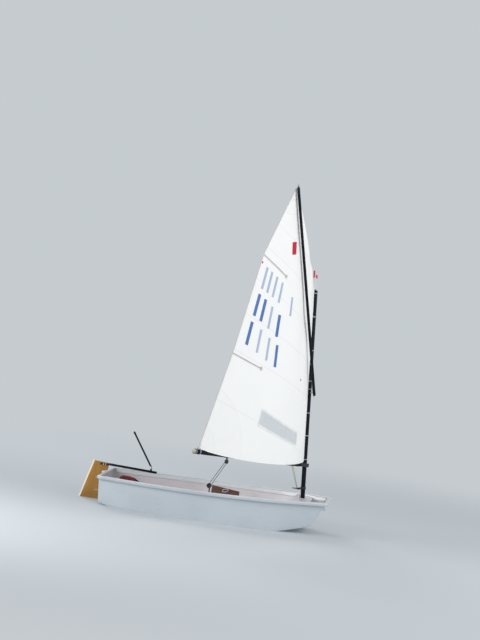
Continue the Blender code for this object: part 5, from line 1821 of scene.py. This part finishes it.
@dataclass
class Ropes:
    """The taut lines of the rig."""

    rig: RigFrame
    form: HullForm
    line: float = 0.0022
    vang_reach: float = 0.232
    sheet_reach: float = 1.440
    sheet_radius: float = 0.0030

    def lay(self, name: str, path: Sequence[Point], radius: float, finish: Finish) -> None:
        """Make a rope along a path and let it move with the rig."""
        LOCKER.fit(tube(name, path, radius, 10), finish, Body.RIG)

    def round_boom(self, reach: float, wide: float, above: float, below: float) -> list[Vector]:
        """Return a rope's path round the boom.

        Args:
            reach: How far along the boom it lies.
            wide: How far from the boom's middle it passes on each side.
            above: How far it passes above.
            below: How far it passes below.

        Returns:
            World points.
        """
        points = []
        for turn in full_turn(24):
            lift = below if math.sin(turn) < 0 else above
            points.append(self.rig.boom(reach, lift * math.sin(turn), wide * math.cos(turn)))
        return points

    def loop(
        self, middle: Point, half_u: float, half_n: float, lean: float = 0.0, turns: int = 1,
    ) -> list[Vector]:
        """Return a rope's path round a spar in the rig's frame.

        Args:
            middle: The middle of the loop, (u, n, m).
            half_u: Half its reach along u.
            half_n: Half its reach along n.
            lean: How much it rises across u.
            turns: How many turns it takes, one line's width apart.

        Returns:
            World points.
        """
        points = []
        steps = 28 * turns
        for k in range(steps + 1):
            turn = 2 * math.pi * k * turns / steps
            u, n = middle[0] + half_u * math.cos(turn), middle[1] + half_n * math.sin(turn)
            m = middle[2] + lean * math.cos(turn) + (k / steps - 0.5) * 2.1 * self.line * (turns - 1)
            points.append(self.rig.at(u, n, m))
        return points

    def build_luff_ties(self) -> None:
        """Tie the luff to the mast."""
        for k, m in enumerate(TIES_UP):
            path = self.loop((0.0075, 0.0, m), half_u=0.0330, half_n=0.0252, lean=0.002, turns=2)
            self.lay(f"luff_tie_{k}", path, self.line, WHITE_CORD)
            knot = self.loop((0.0405, 0.0, m + 0.002), half_u=0.004, half_n=0.0065, lean=0.003)
            self.lay(f"luff_knot_{k}", knot, self.line * 1.1, WHITE_CORD)

    def build_corner_ties(self) -> None:
        """Tie the clew to the boom's end and the peak to the sprit."""
        r = self.rig
        for k, reach in enumerate((1.925, 1.933)):
            ring = self.round_boom(reach, wide=0.0258, above=0.036, below=0.0255)
            self.lay(f"clew_tie_{k}", ring, self.line, WHITE_CORD)
        places = ((1.925, 0.040), (1.955, 0.037), (1.990, 0.028), (2.012, 0.010), (2.013, 0.0))
        self.lay("outhaul", [r.boom(reach, above) for reach, above in places], self.line, WHITE_CORD)
        tip, heel = Vector(SPRIT_TIP), Vector(SPRIT_HEEL)
        middle = tip - (tip - heel).normalized() * 0.030 + Vector((-0.014, -0.010, -0.010))
        along, across = Vector((0.022, 0.018, 0.014)), Vector((0.0, 0.009, 0.010))
        path = [middle + along * math.cos(turn) + across * math.sin(turn) for turn in full_turn(24)]
        self.lay("peak_loop", [r.at(*place) for place in path], self.line, DARK_CORD)

    def build_snotter(self) -> None:
        """Make the line that holds the sprit's heel to the mast."""
        r = self.rig
        path = (
            (0.004, 0.070, 0.690), (0.006, 0.058, 0.715), (0.004, 0.040, 0.760),
            (0.002, 0.029, 0.810), (0.0, 0.0265, 0.846),
        )
        self.lay("snotter", [r.at(*p) for p in path], self.line * 1.2, TAN_CORD)
        turns = self.loop((0.0, 0.0, 0.850), half_u=0.0250, half_n=0.0250, lean=0.004, turns=3)
        self.lay("snotter_turns", turns, self.line, TAN_CORD)

    def build_vang(self) -> None:
        """Make the line that holds the boom down, in two parts."""
        r = self.rig
        for k, n in enumerate((-0.006, 0.006)):
            low, high = r.at(0.122, n * 0.5, -0.222), r.boom(self.vang_reach, -0.024, n * 1.4)
            self.lay(f"vang_line_{k}", [low.lerp(high, t / 4) for t in range(5)], self.line, LIME_CORD)
        ring = self.round_boom(self.vang_reach, wide=0.0254, above=0.0254, below=0.0254)
        self.lay("vang_loop", ring, self.line, LIME_CORD)

    def build_mainsheet(self) -> None:
        """Make the sheet's taut parts between the boom and the block on the frame."""
        f, r = self.form, self.rig
        wheel = Vector((f.fore(1.083), 0.0, f.up(0.398)))
        block = r.boom(self.sheet_reach, -0.059)
        run = (block - wheel).normalized()
        side = run.cross(Vector((0, 0, 1))).cross(run).normalized()
        for k, (low, high) in enumerate(((0.0235, 0.0180), (-0.0235, -0.0180))):
            start, end = wheel + side * low, block + side * high
            path = [start.lerp(end, t / 30) for t in range(31)]
            rope = LOCKER.dress(tube(f"mainsheet_part_{k}", path, self.sheet_radius, 10), DARK_CORD)
            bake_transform(rope)
        ring = self.round_boom(self.sheet_reach, wide=0.0262, above=0.0262, below=0.0262)
        self.lay("mainsheet_strop", ring, 0.0028, DARK_CORD)

    def build(self) -> None:
        """Build all the lines."""
        self.build_luff_ties()
        self.build_corner_ties()
        self.build_snotter()
        self.build_vang()
        self.build_mainsheet()


# Rudder, tiller and daggerboard

@dataclass
class Steering:
    """The rudder, the tiller and its extension."""

    form: HullForm
    tiller_ends: tuple[Pair, Pair] = ((0.0370, 0.4570), (0.533, 0.4450))
    tiller_radius: float = 0.012
    bracket_slim: float = 0.62
    collars: Pair = (-1.170, -1.148)
    collar_proud: float = 0.001
    collar_steps: tuple[float, ...] = (0.0, 0.0008, 0.0037, 0.0045)
    head_drop: float = 0.014
    head_heights: Pair = (0.388, 0.432)
    head_from: float = -0.06

    def on_tiller(self, share: float) -> Vector:
        """Return a point of the tiller's middle line."""
        (d0, h0), (d1, h1) = self.tiller_ends
        return Vector((self.form.fore(d0 + (d1 - d0) * share), 0.0, self.form.up(h0 + (h1 - h0) * share)))

    def build_rudder(self) -> None:
        """Make the blade with rounded edges, its head low over the stern rail."""
        blade = soften("rudder_blade", "rudder_board", 0.0040, 4)
        fore = self.form.fore(self.head_from)
        low, high = (self.form.up(height) for height in self.head_heights)
        for vertex in blade.data.vertices:
            if vertex.co.x > fore and low < vertex.co.z < high:
                vertex.co.z -= self.head_drop
        LOCKER.fit(blade, RUDDER_PLY, Body.RUDDER)

    def build_tiller(self) -> None:
        """Make the tiller with its rounded ends."""
        aft, fore = self.on_tiller(0.0), self.on_tiller(1.0)
        tiller = rounded_rod("tiller_tube", aft, fore, self.tiller_radius, 0.003, 28)
        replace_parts(tiller, "tiller")
        LOCKER.fit(tiller, BLACK_TUBE, Body.RUDDER)

    def build_bracket(self) -> None:
        """Make the bracket that holds the tiller on the blade's head, slimmer than its solid."""
        bracket = soften("tiller_bracket", "bracket", 0.0015)
        middle = self.on_tiller(0.0).z
        for vertex in bracket.data.vertices:
            vertex.co.z = middle + (vertex.co.z - middle) * self.bracket_slim
        LOCKER.fit(bracket, BLACK_PLASTIC, Body.RUDDER)
        low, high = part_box("tiller_bracket")
        y = (high[1] - low[1]) / 2 + self.collar_proud
        z = (high[2] - low[2]) / 2 * self.bracket_slim + self.collar_proud
        centre = middle + ((low[2] + high[2]) / 2 - middle) * self.bracket_slim
        shape = rounded_plate(((-y, -z), (y, -z), (y, z), (-y, z)), 0.003)
        for k, x in enumerate(self.collars):
            rings = [[(x + dx, p.x, centre + p.y) for p in shape] for dx in self.collar_steps]
            LOCKER.fit(skin(f"bracket_collar_{k}", rings), PALE_PLASTIC, Body.RUDDER)

    def build_extension(self) -> None:
        """Make the tiller's extension."""
        LOCKER.fit(soften("tiller_extension", "extension_tube", 0.0012), BLACK_TUBE, Body.EXTENSION)

    def build(self) -> None:
        """Build the steering gear."""
        self.build_rudder()
        self.build_tiller()
        self.build_bracket()
        self.build_extension()


@dataclass
class Board:
    """The daggerboard and the loop of line at its head."""

    form: HullForm
    loop_at: Pair = (1.255, 0.375)
    loop_size: Pair = (0.030, 0.014)
    loop_lean: float = 0.006
    loop_off: float = 0.0255
    loop_radius: float = 0.0040
    ends: Pair = (1.113, 1.398)
    head_from: float = 0.380
    head_slope: float = 0.026

    def build(self) -> None:
        """Build the board and its loop."""
        board = soften("daggerboard", "dagger_board", 0.0030)
        f = self.form
        aft, fore = f.fore(self.ends[0]), f.fore(self.ends[1])
        for vertex in board.data.vertices:
            if vertex.co.z > f.up(self.head_from):
                vertex.co.z -= self.head_slope * (vertex.co.x - aft) / (fore - aft)
        LOCKER.fit(board, DARK_BOARD, Body.BOARD)
        (d, h), (wide, tall) = self.loop_at, self.loop_size
        for side in Side:
            path = []
            for turn in full_turn(28):
                rise = tall * math.sin(turn) + self.loop_lean * math.cos(turn)
                path.append((f.fore(d + wide * math.cos(turn)), side.value * self.loop_off, f.up(h + rise)))
            loop = tube(f"board_loop_{side.word}", path, self.loop_radius, 12)
            LOCKER.fit(loop, WHITE_CORD, Body.BOARD)


# Loose gear and straps in the hull

@dataclass
class Gear:
    """The bailer, the air bags and their straps, and the foot straps."""

    form: HullForm
    bag_start: float = 0.070
    bag_end: float = 1.010
    bag_radius: float = 0.105
    bag_play: float = 0.005
    bag_grid: tuple[int, int] = (72, 64)
    bag_seams: Pair = (math.radians(75), math.radians(255))
    pleats: tuple[int, float, float] = (9, 0.14, 0.040)
    folds: tuple[int, float, float] = (14, 0.30, 0.014)
    dent_depth: float = 0.008
    ridge: tuple[float, float] = (0.028, 0.06)
    pinched: tuple[float, float] = (0.012, 0.035)
    end_length: float = 0.07
    end_flat: float = 0.93
    end_wide: float = 0.10
    bow_bag_at: float = 1.71215
    bow_bag_radius: float = 0.095
    bow_bag_half: float = 0.240
    blow_frames: int = 16
    strap_width: float = 0.040
    strap_thick: float = 0.003
    strap_turns: Pair = (math.radians(62), math.radians(128))
    foot_strap_width: float = 0.050
    foot_strap_thick: float = 0.0034
    foot_strap_off: float = 0.115
    foot_strap_height: float = 0.165
    foot_strap_sag: float = 0.018
    foot_strap_fore: float = 1.0838
    bailer_radius: float = 0.055
    bailer_start: float = 0.120
    bailer_length: float = 0.215
    bailer_sink: float = 0.0141
    bailer_wall: float = 0.0026

    def bag_centre(self, distance: float, side: int) -> Vector:
        """Return the middle of a side bag."""
        f, radius = self.form, self.bag_radius
        height = f.floor(distance) + radius + self.bag_play
        half = min(
            f.inside(distance, height + lift * radius) - radius * math.sqrt(1 - lift * lift)
            for lift in (-0.7, -0.35, 0.0, 0.35, 0.7)
        )
        return Vector((f.fore(distance), side * (half - self.bag_play), f.up(height)))

    def wrinkle(self, turn: float, phase: float, edge: float, kind: tuple[int, float, float]) -> float:
        """Return the height of a wrinkle that fades away from a bag's ends.

        Args:
            turn: The place round the bag, as an angle.
            phase: Where its waves start.
            edge: How far from the nearer end, as a share of half the length.
            kind: How many waves go round, how far they reach from the ends, and their depth.

        Returns:
            The height as a share of the bag's radius.
        """
        count, reach, depth = kind
        return math.sin(turn * count + phase) * math.exp(-edge / reach) * depth

    def bag_size(self, share: float) -> float:
        """Return a bag's thickness along its length, as a share of its full radius."""
        return math.sqrt(max(0.0, 1 - abs(2 * share - 1) ** 5)) * 0.72 + 0.28

    def pillow(
        self, name: str, middle: Callable[[float], Vector], radius: float, axis: int, pinch: Sequence[float],
    ) -> bpy.types.Object:
        """Make an air bag: full along its length, with flat welded ends.

        Args:
            name: The piece's name.
            middle: Gives its middle line at a share of its length.
            radius: Its full radius.
            axis: 0 where it lies along X, 1 along Y.
            pinch: The shares at which a strap holds it in.

        Returns:
            The new object, closed, with wrinkles at its ends.
        """
        steps, sides = self.bag_grid
        rings = []
        for i in range(steps + 1):
            t = i / steps
            edge = min(t, 1 - t) * 2
            full = self.bag_size(t) * 0.99
            flat = max(0.0, 1 - edge / self.end_length)
            held = sum(math.exp(-((t - p) / self.pinched[1]) ** 2) for p in pinch)
            ring = []
            for turn in full_turn(sides)[:-1]:
                pleats = self.wrinkle(turn, 0.6, edge, self.pleats)
                folds = self.wrinkle(turn, t * 9, edge, self.folds)
                dents = math.sin(t * 23 + math.sin(turn * 2) * 1.7) * math.sin(turn * 3 + t * 5)
                near_seam = min(abs(turn - seam) for seam in self.bag_seams)
                ridge = self.ridge[0] * math.exp(-((near_seam / self.ridge[1]) ** 2)) * min(1.0, edge / 0.05)
                size = full - abs(pleats) + folds - abs(dents) * self.dent_depth
                size = radius * (size + ridge - self.pinched[0] * held)
                a, b = math.cos(turn) * size, math.sin(turn) * size
                a *= 1 + self.end_wide * flat
                b *= 1 - self.end_flat * flat
                ring.append(middle(t) + (Vector((0, a, b)) if axis == 0 else Vector((a, 0, b))))
            rings.append(ring)
        return skin(name, rings, angle=80.0)

    def inflate(self, obj: bpy.types.Object, held: Callable[[Vector], bool], cap: float) -> bpy.types.Object:
        """Blow up a bag with cloth physics, and keep each point near its start.

        Args:
            obj: The bag.
            held: Tells which points a strap holds still.
            cap: How far a point may move outwards.

        Returns:
            The same bag, with no modifiers.
        """
        start = np.array([v.co[:] for v in obj.data.vertices])
        group = obj.vertex_groups.new(name="held")
        group.add([v.index for v in obj.data.vertices if held(v.co)], 1.0, "REPLACE")
        cloth = obj.modifiers.new("air", "CLOTH")
        settings = {
            "quality": 5,
            "mass": 0.15,
            "tension_stiffness": 30,
            "compression_stiffness": 12,
            "bending_stiffness": 0.15,
            "use_pressure": True,
            "uniform_pressure_force": 2.5,
            "vertex_group_mass": "held",
        }
        for key, value in settings.items():
            setattr(cloth.settings, key, value)
        cloth.settings.effector_weights.gravity = 0
        scene = bpy.context.scene
        cloth.point_cache.frame_start = 1
        cloth.point_cache.frame_end = self.blow_frames
        for number in range(1, self.blow_frames + 1):
            scene.frame_set(number)
        evaluated = obj.evaluated_get(bpy.context.evaluated_depsgraph_get())
        moved = np.array([v.co[:] for v in evaluated.to_mesh().vertices])
        evaluated.to_mesh_clear()
        obj.modifiers.clear()
        obj.vertex_groups.clear()
        shift = moved - start
        length = np.linalg.norm(shift, axis=1, keepdims=True)
        shift *= np.minimum(1.0, cap / np.maximum(length, 1e-9))
        for vertex, place in zip(obj.data.vertices, start + shift):
            vertex.co = place
        scene.frame_set(1)
        return obj

    def build_bags(self) -> None:
        """Make the three air bags."""
        f, radius = self.form, self.bow_bag_radius
        middle = (self.bag_start + self.bag_end) / 2
        span = self.bag_end - self.bag_start

        def side_line(t: float) -> Vector:
            """Return the port bag's middle at a share of its length."""
            return self.bag_centre(self.bag_start + span * t, 1)

        port = self.pillow("air_bag_port", side_line, self.bag_radius * 0.99, 0, (0.5,))
        strap_x = f.fore(middle)
        self.inflate(port, lambda co: abs(co.x - strap_x) < 0.024, 0.0035)
        starboard = bpy.data.objects.new("air_bag_starboard", port.data.copy())
        bpy.context.collection.objects.link(starboard)
        for vertex in starboard.data.vertices:
            vertex.co.y = -vertex.co.y
        starboard.data.flip_normals()
        height = 0.0005 + max(
            f.floor(self.bow_bag_at + radius * math.cos(turn)) - radius * math.sin(turn)
            for turn in full_turn(16)[:-1]
        )

        def bow_line(t: float) -> Vector:
            """Return the bow bag's middle at a share of its length."""
            return Vector((f.fore(self.bow_bag_at), self.bow_bag_half * (2 * t - 1), f.up(height)))

        bow = self.pillow("air_bag_bow", bow_line, radius * 0.985, 1, ())
        self.inflate(bow, lambda co: False, 0.0030)
        bags = (
            (port, "buoyancy_bag_port"),
            (starboard, "buoyancy_bag_starboard"),
            (bow, "buoyancy_bag_bow"),
        )
        for bag, node in bags:
            bag.modifiers.new("finer", "SUBSURF").levels = 1
            settle(bag, 80.0)
            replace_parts(bag, node)
            LOCKER.fit(bag, BAG_CLOTH, Body.HULL)

    def build_bag_straps(self) -> None:
        """Make the webbing over each side bag."""
        f = self.form
        middle = (self.bag_start + self.bag_end) / 2
        for side in Side:
            centre = self.bag_centre(middle, side.value)
            (first, sweep), steps = self.strap_turns, 32
            turns = [first + sweep * k / steps for k in range(steps + 1)]
            normals = [Vector((0, side.value * math.cos(turn), math.sin(turn))) for turn in turns]
            points = [centre + out * (self.bag_radius - 0.0008) for out in normals]
            top = points[0]
            wall = side.value * (f.inside(middle, top.z - f.keel_z) - 0.0005)
            lead = [Vector((top.x, wall + (top.y - wall) * t, top.z)) for t in (0.0, 0.33, 0.66)]
            points = lead + points
            normals = [Vector((0, 0, 1))] * 3 + normals
            floor = f.up(f.floor(middle) + 0.0005)
            last = points[-1]
            for t in (0.33, 0.66, 1.0):
                points.append(Vector((last.x, last.y, last.z + (floor - last.z) * t)))
                normals.append(Vector((0, -side.value, 0)))
            strap = strap_piece(f"bag_band_{side.word}", points, normals, self.strap_width, self.strap_thick)
            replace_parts(strap, f"bag_strap_{side.word}")
            LOCKER.fit(strap, BLUE_STRAP, Body.HULL)

    def build_foot_straps(self) -> None:
        """Make the two foot straps, sagging a little between their ends."""
        f, steps = self.form, 40
        aft = f.at(0.0, self.foot_strap_height, 1, f.skin).x + 0.0008
        ahead = f.fore(self.foot_strap_fore) - 0.0006
        for side in Side:
            points = []
            for t in (k / steps for k in range(steps + 1)):
                z = f.up(self.foot_strap_height) - self.foot_strap_sag * 4 * t * (1 - t)
                points.append(Vector((aft + (ahead - aft) * t, side.value * self.foot_strap_off, z)))
            normals = [Vector((0, 0, 1))] * len(points)
            size = (self.foot_strap_width, self.foot_strap_thick)
            strap = strap_piece(f"foot_band_{side.word}", points, normals, *size)
            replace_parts(strap, f"hiking_strap_{side.word}")
            LOCKER.fit(strap, BLACK_STRAP, Body.HULL)

    def bailer_base(self, distance: float) -> Vector:
        """Return the middle of the bailer's open underside, along the bag's top."""
        span = self.bag_end - self.bag_start
        ends = []
        for k in (1, 2):
            at = self.bag_start + span * k / 10
            ends.append(self.bag_centre(at, 1) + Vector((0, 0, self.bag_radius * self.bag_size(k / 10))))
        low, high = ends
        share = (self.form.fore(distance) - low.x) / (high.x - low.x)
        return low + (high - low) * share - Vector((0, 0, self.bailer_sink))

    def build_bailer(self) -> None:
        """Make the scoop, with a rounded closed end and a slanted mouth."""
        rings = []
        rows = (
            # share of the length, share of the radius, how far its top leans aft
            (0.004, 0.40, 0.000), (0.010, 0.62, 0.000), (0.030, 0.80, 0.000), (0.07, 0.90, 0.000),
            (0.15, 0.965, 0.0), (0.30, 0.985, 0.005), (0.45, 0.985, 0.012), (0.60, 0.980, 0.025),
            (0.75, 0.965, 0.038), (0.90, 0.935, 0.058), (0.995, 0.90, 0.070),
        )
        for t, size, lean in rows:
            base = self.bailer_base(self.bailer_start + self.bailer_length * t)
            ring = []
            for k in range(33):
                turn = math.pi * k / 32
                wide = math.copysign(abs(math.cos(turn)) ** 0.9, math.cos(turn))
                y, z = wide * self.bailer_radius * size, math.sin(turn) * self.bailer_radius * size
                ring.append(base + Vector((-lean * math.sin(turn), y, z)))
            rings.append(ring)
        scoop = skin("scoop", rings, closed=False, caps=False, angle=60.0)
        bm = bmesh.new()
        bm.from_mesh(scoop.data)
        bm.verts.ensure_lookup_table()
        bm.faces.new([bm.verts[k] for k in range(len(rings[0]))])
        bmesh.ops.recalc_face_normals(bm, faces=bm.faces)
        top = max(bm.faces, key=lambda face: face.calc_center_median().z)
        if top.normal.z < 0:
            bmesh.ops.reverse_faces(bm, faces=bm.faces)
        bm.to_mesh(scoop.data)
        bm.free()
        thicken(scoop, self.bailer_wall, -1.0)
        round_edges(scoop, 0.0009, 2, 50.0)
        settle(scoop, 50.0)
        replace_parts(scoop, "bailer")
        LOCKER.fit(scoop, RED_PLASTIC, Body.HULL)

    def build(self) -> None:
        """Build all the gear."""
        self.build_bags()
        self.build_bag_straps()
        self.build_foot_straps()
        self.build_bailer()


# Studio

@dataclass
class Studio:
    """The floor at the waterline, the lights and the camera."""

    form: HullForm
    target: Vector = field(default_factory=lambda: Vector((0.0057, 0.0, 2.0172)))
    distance: float = 19.2363
    azimuth: float = math.radians(5.5789)
    elevation: float = math.radians(1.8685)
    roll: float = math.radians(8.122)
    focal_px: float = 1900.85
    frame_px: tuple[int, int] = (480, 640)
    far: float = 200.0
    floor_size: float = 60.0
    fade: Pair = (2.6, 7.5)
    aim: Point = (0.0, 0.0, 1.0)
    sky: Colour = (0.93, 0.96, 1.0)
    sky_strength: float = 0.46
    pale: Colour = (0.56, 0.60, 0.63)

    def build_floor(self) -> None:
        """Make the floor with a hole of the hull's shape, so that none shows inside."""
        f = self.form
        height = -f.keel_z
        wet = [k / 400 for k in range(401) if f.section_ends(k / 400)[0] < height - 0.0005]
        shares = [wet[0] + (wet[-1] - wet[0]) * k / 60 for k in range(61)]
        side = [f.at(share, height, 1, 0.004) for share in shares]
        outline = [(p.x, p.y) for p in side] + [(p.x, -p.y) for p in reversed(side)]
        bm = bmesh.new()
        ring = [bm.verts.new((x, y, 0.0)) for x, y in outline]
        half = self.floor_size / 2
        corners = ((-half, -half), (half, -half), (half, half), (-half, half))
        square = [bm.verts.new((x, y, 0.0)) for x, y in corners]
        edges = [bm.edges.new((a, b)) for loop in (ring, square) for a, b in zip(loop, loop[1:] + loop[:1])]
        bmesh.ops.triangle_fill(bm, use_beauty=True, edges=edges)
        bmesh.ops.recalc_face_normals(bm, faces=bm.faces)
        floor = link("floor", bm)
        if floor.data.polygons[0].normal.z < 0:
            floor.data.flip_normals()
        p = Paint("pale_floor")
        p.set(Base_Color=self.pale, Roughness=0.85)
        rays = ("Is Glossy Ray", "Is Transmission Ray", "Is Camera Ray")
        glossy, through, direct = (p.node("ShaderNodeLightPath", output=ray) for ray in rays)
        x, y, _ = p.axes(p.place())
        far = (x * x + y * y).root().step(*self.fade)
        seen = glossy | through | far * direct
        white = p.node("ShaderNodeEmission", None, {"Color": self.pale, "Strength": 1.0})
        output = p.tree.nodes["Material Output"]
        mix = p.node("ShaderNodeMixShader", None, {0: seen, 1: Wire(p, p.shader.outputs[0]), 2: white})
        p.tree.links.new(mix.socket, output.inputs["Surface"])
        floor.data.materials.append(p.material)

    def build_world(self) -> None:
        """Light the scene evenly and show a pale background."""
        world = bpy.data.worlds.new("studio")
        bpy.context.scene.world = world
        world.use_nodes = True
        tree = world.node_tree
        tree.nodes.clear()
        output = tree.nodes.new("ShaderNodeOutputWorld")
        path = tree.nodes.new("ShaderNodeLightPath")
        both = tree.nodes.new("ShaderNodeMixShader")
        tree.links.new(path.outputs["Is Camera Ray"], both.inputs[0])
        for index, colour, strength in ((1, self.sky, self.sky_strength), (2, self.pale, 1.0)):
            ground = tree.nodes.new("ShaderNodeBackground")
            ground.inputs["Color"].default_value = (*colour, 1.0)
            ground.inputs["Strength"].default_value = strength
            tree.links.new(ground.outputs[0], both.inputs[index])
        tree.links.new(both.outputs[0], output.inputs["Surface"])

    def build_lights(self) -> None:
        """Hang three large soft lamps: ahead, by the stern and behind."""
        lamps = (
            # name, place, size, watts
            ("key", (8.5, -4.5, 5.5), 6.0, 580.0),
            ("stern", (-4.2, -3.8, 2.4), 2.5, 150.0),
            ("back", (-5.0, 6.0, 6.0), 5.0, 260.0),
        )
        for name, place, size, watts in lamps:
            data = bpy.data.lights.new(name, "AREA")
            data.energy = watts
            data.size = size
            lamp = bpy.data.objects.new(name, data)
            bpy.context.collection.objects.link(lamp)
            lamp.location = place
            lamp.rotation_euler = (Vector(self.aim) - Vector(place)).to_track_quat("-Z", "Y").to_euler()

    def build_camera(self) -> None:
        """Place the camera where the photograph's was, with its roll."""
        data = bpy.data.cameras.new("camera")
        data.lens = self.focal_px / max(self.frame_px) * data.sensor_width
        data.clip_end = self.far
        camera = bpy.data.objects.new("camera", data)
        bpy.context.collection.objects.link(camera)
        a, e, roll = self.azimuth, self.elevation, self.roll
        back = Vector((math.sin(a) * math.cos(e), -math.cos(a) * math.cos(e), math.sin(e)))
        right = Vector((math.cos(a), math.sin(a), 0.0))
        up = back.cross(right)
        right_rolled = right * math.cos(roll) + up * math.sin(roll)
        up_rolled = up * math.cos(roll) - right * math.sin(roll)
        turn = Matrix((right_rolled, up_rolled, back)).transposed().to_4x4()
        camera.matrix_world = Matrix.Translation(self.target + back * self.distance) @ turn
        bpy.context.scene.camera = camera

    def build(self) -> None:
        """Build the whole studio."""
        self.build_camera()
        self.build_floor()
        self.build_world()
        self.build_lights()
        bpy.context.scene.view_settings.view_transform = "Standard"


def main() -> None:
    """Build the studio and then the boat, sub-assembly by sub-assembly."""
    logging.basicConfig(level=logging.INFO, format="%(name)s %(message)s")
    form = HullForm()
    rig = RigFrame()
    Studio(form).build()
    Hull(form).build()
    build_fittings()
    Steering(form).build()
    Board(form).build()
    Gear(form).build()
    Spars(rig).build()
    Sail(rig).build()
    Ropes(rig, form).build()


if __name__ == "__main__":
    main()
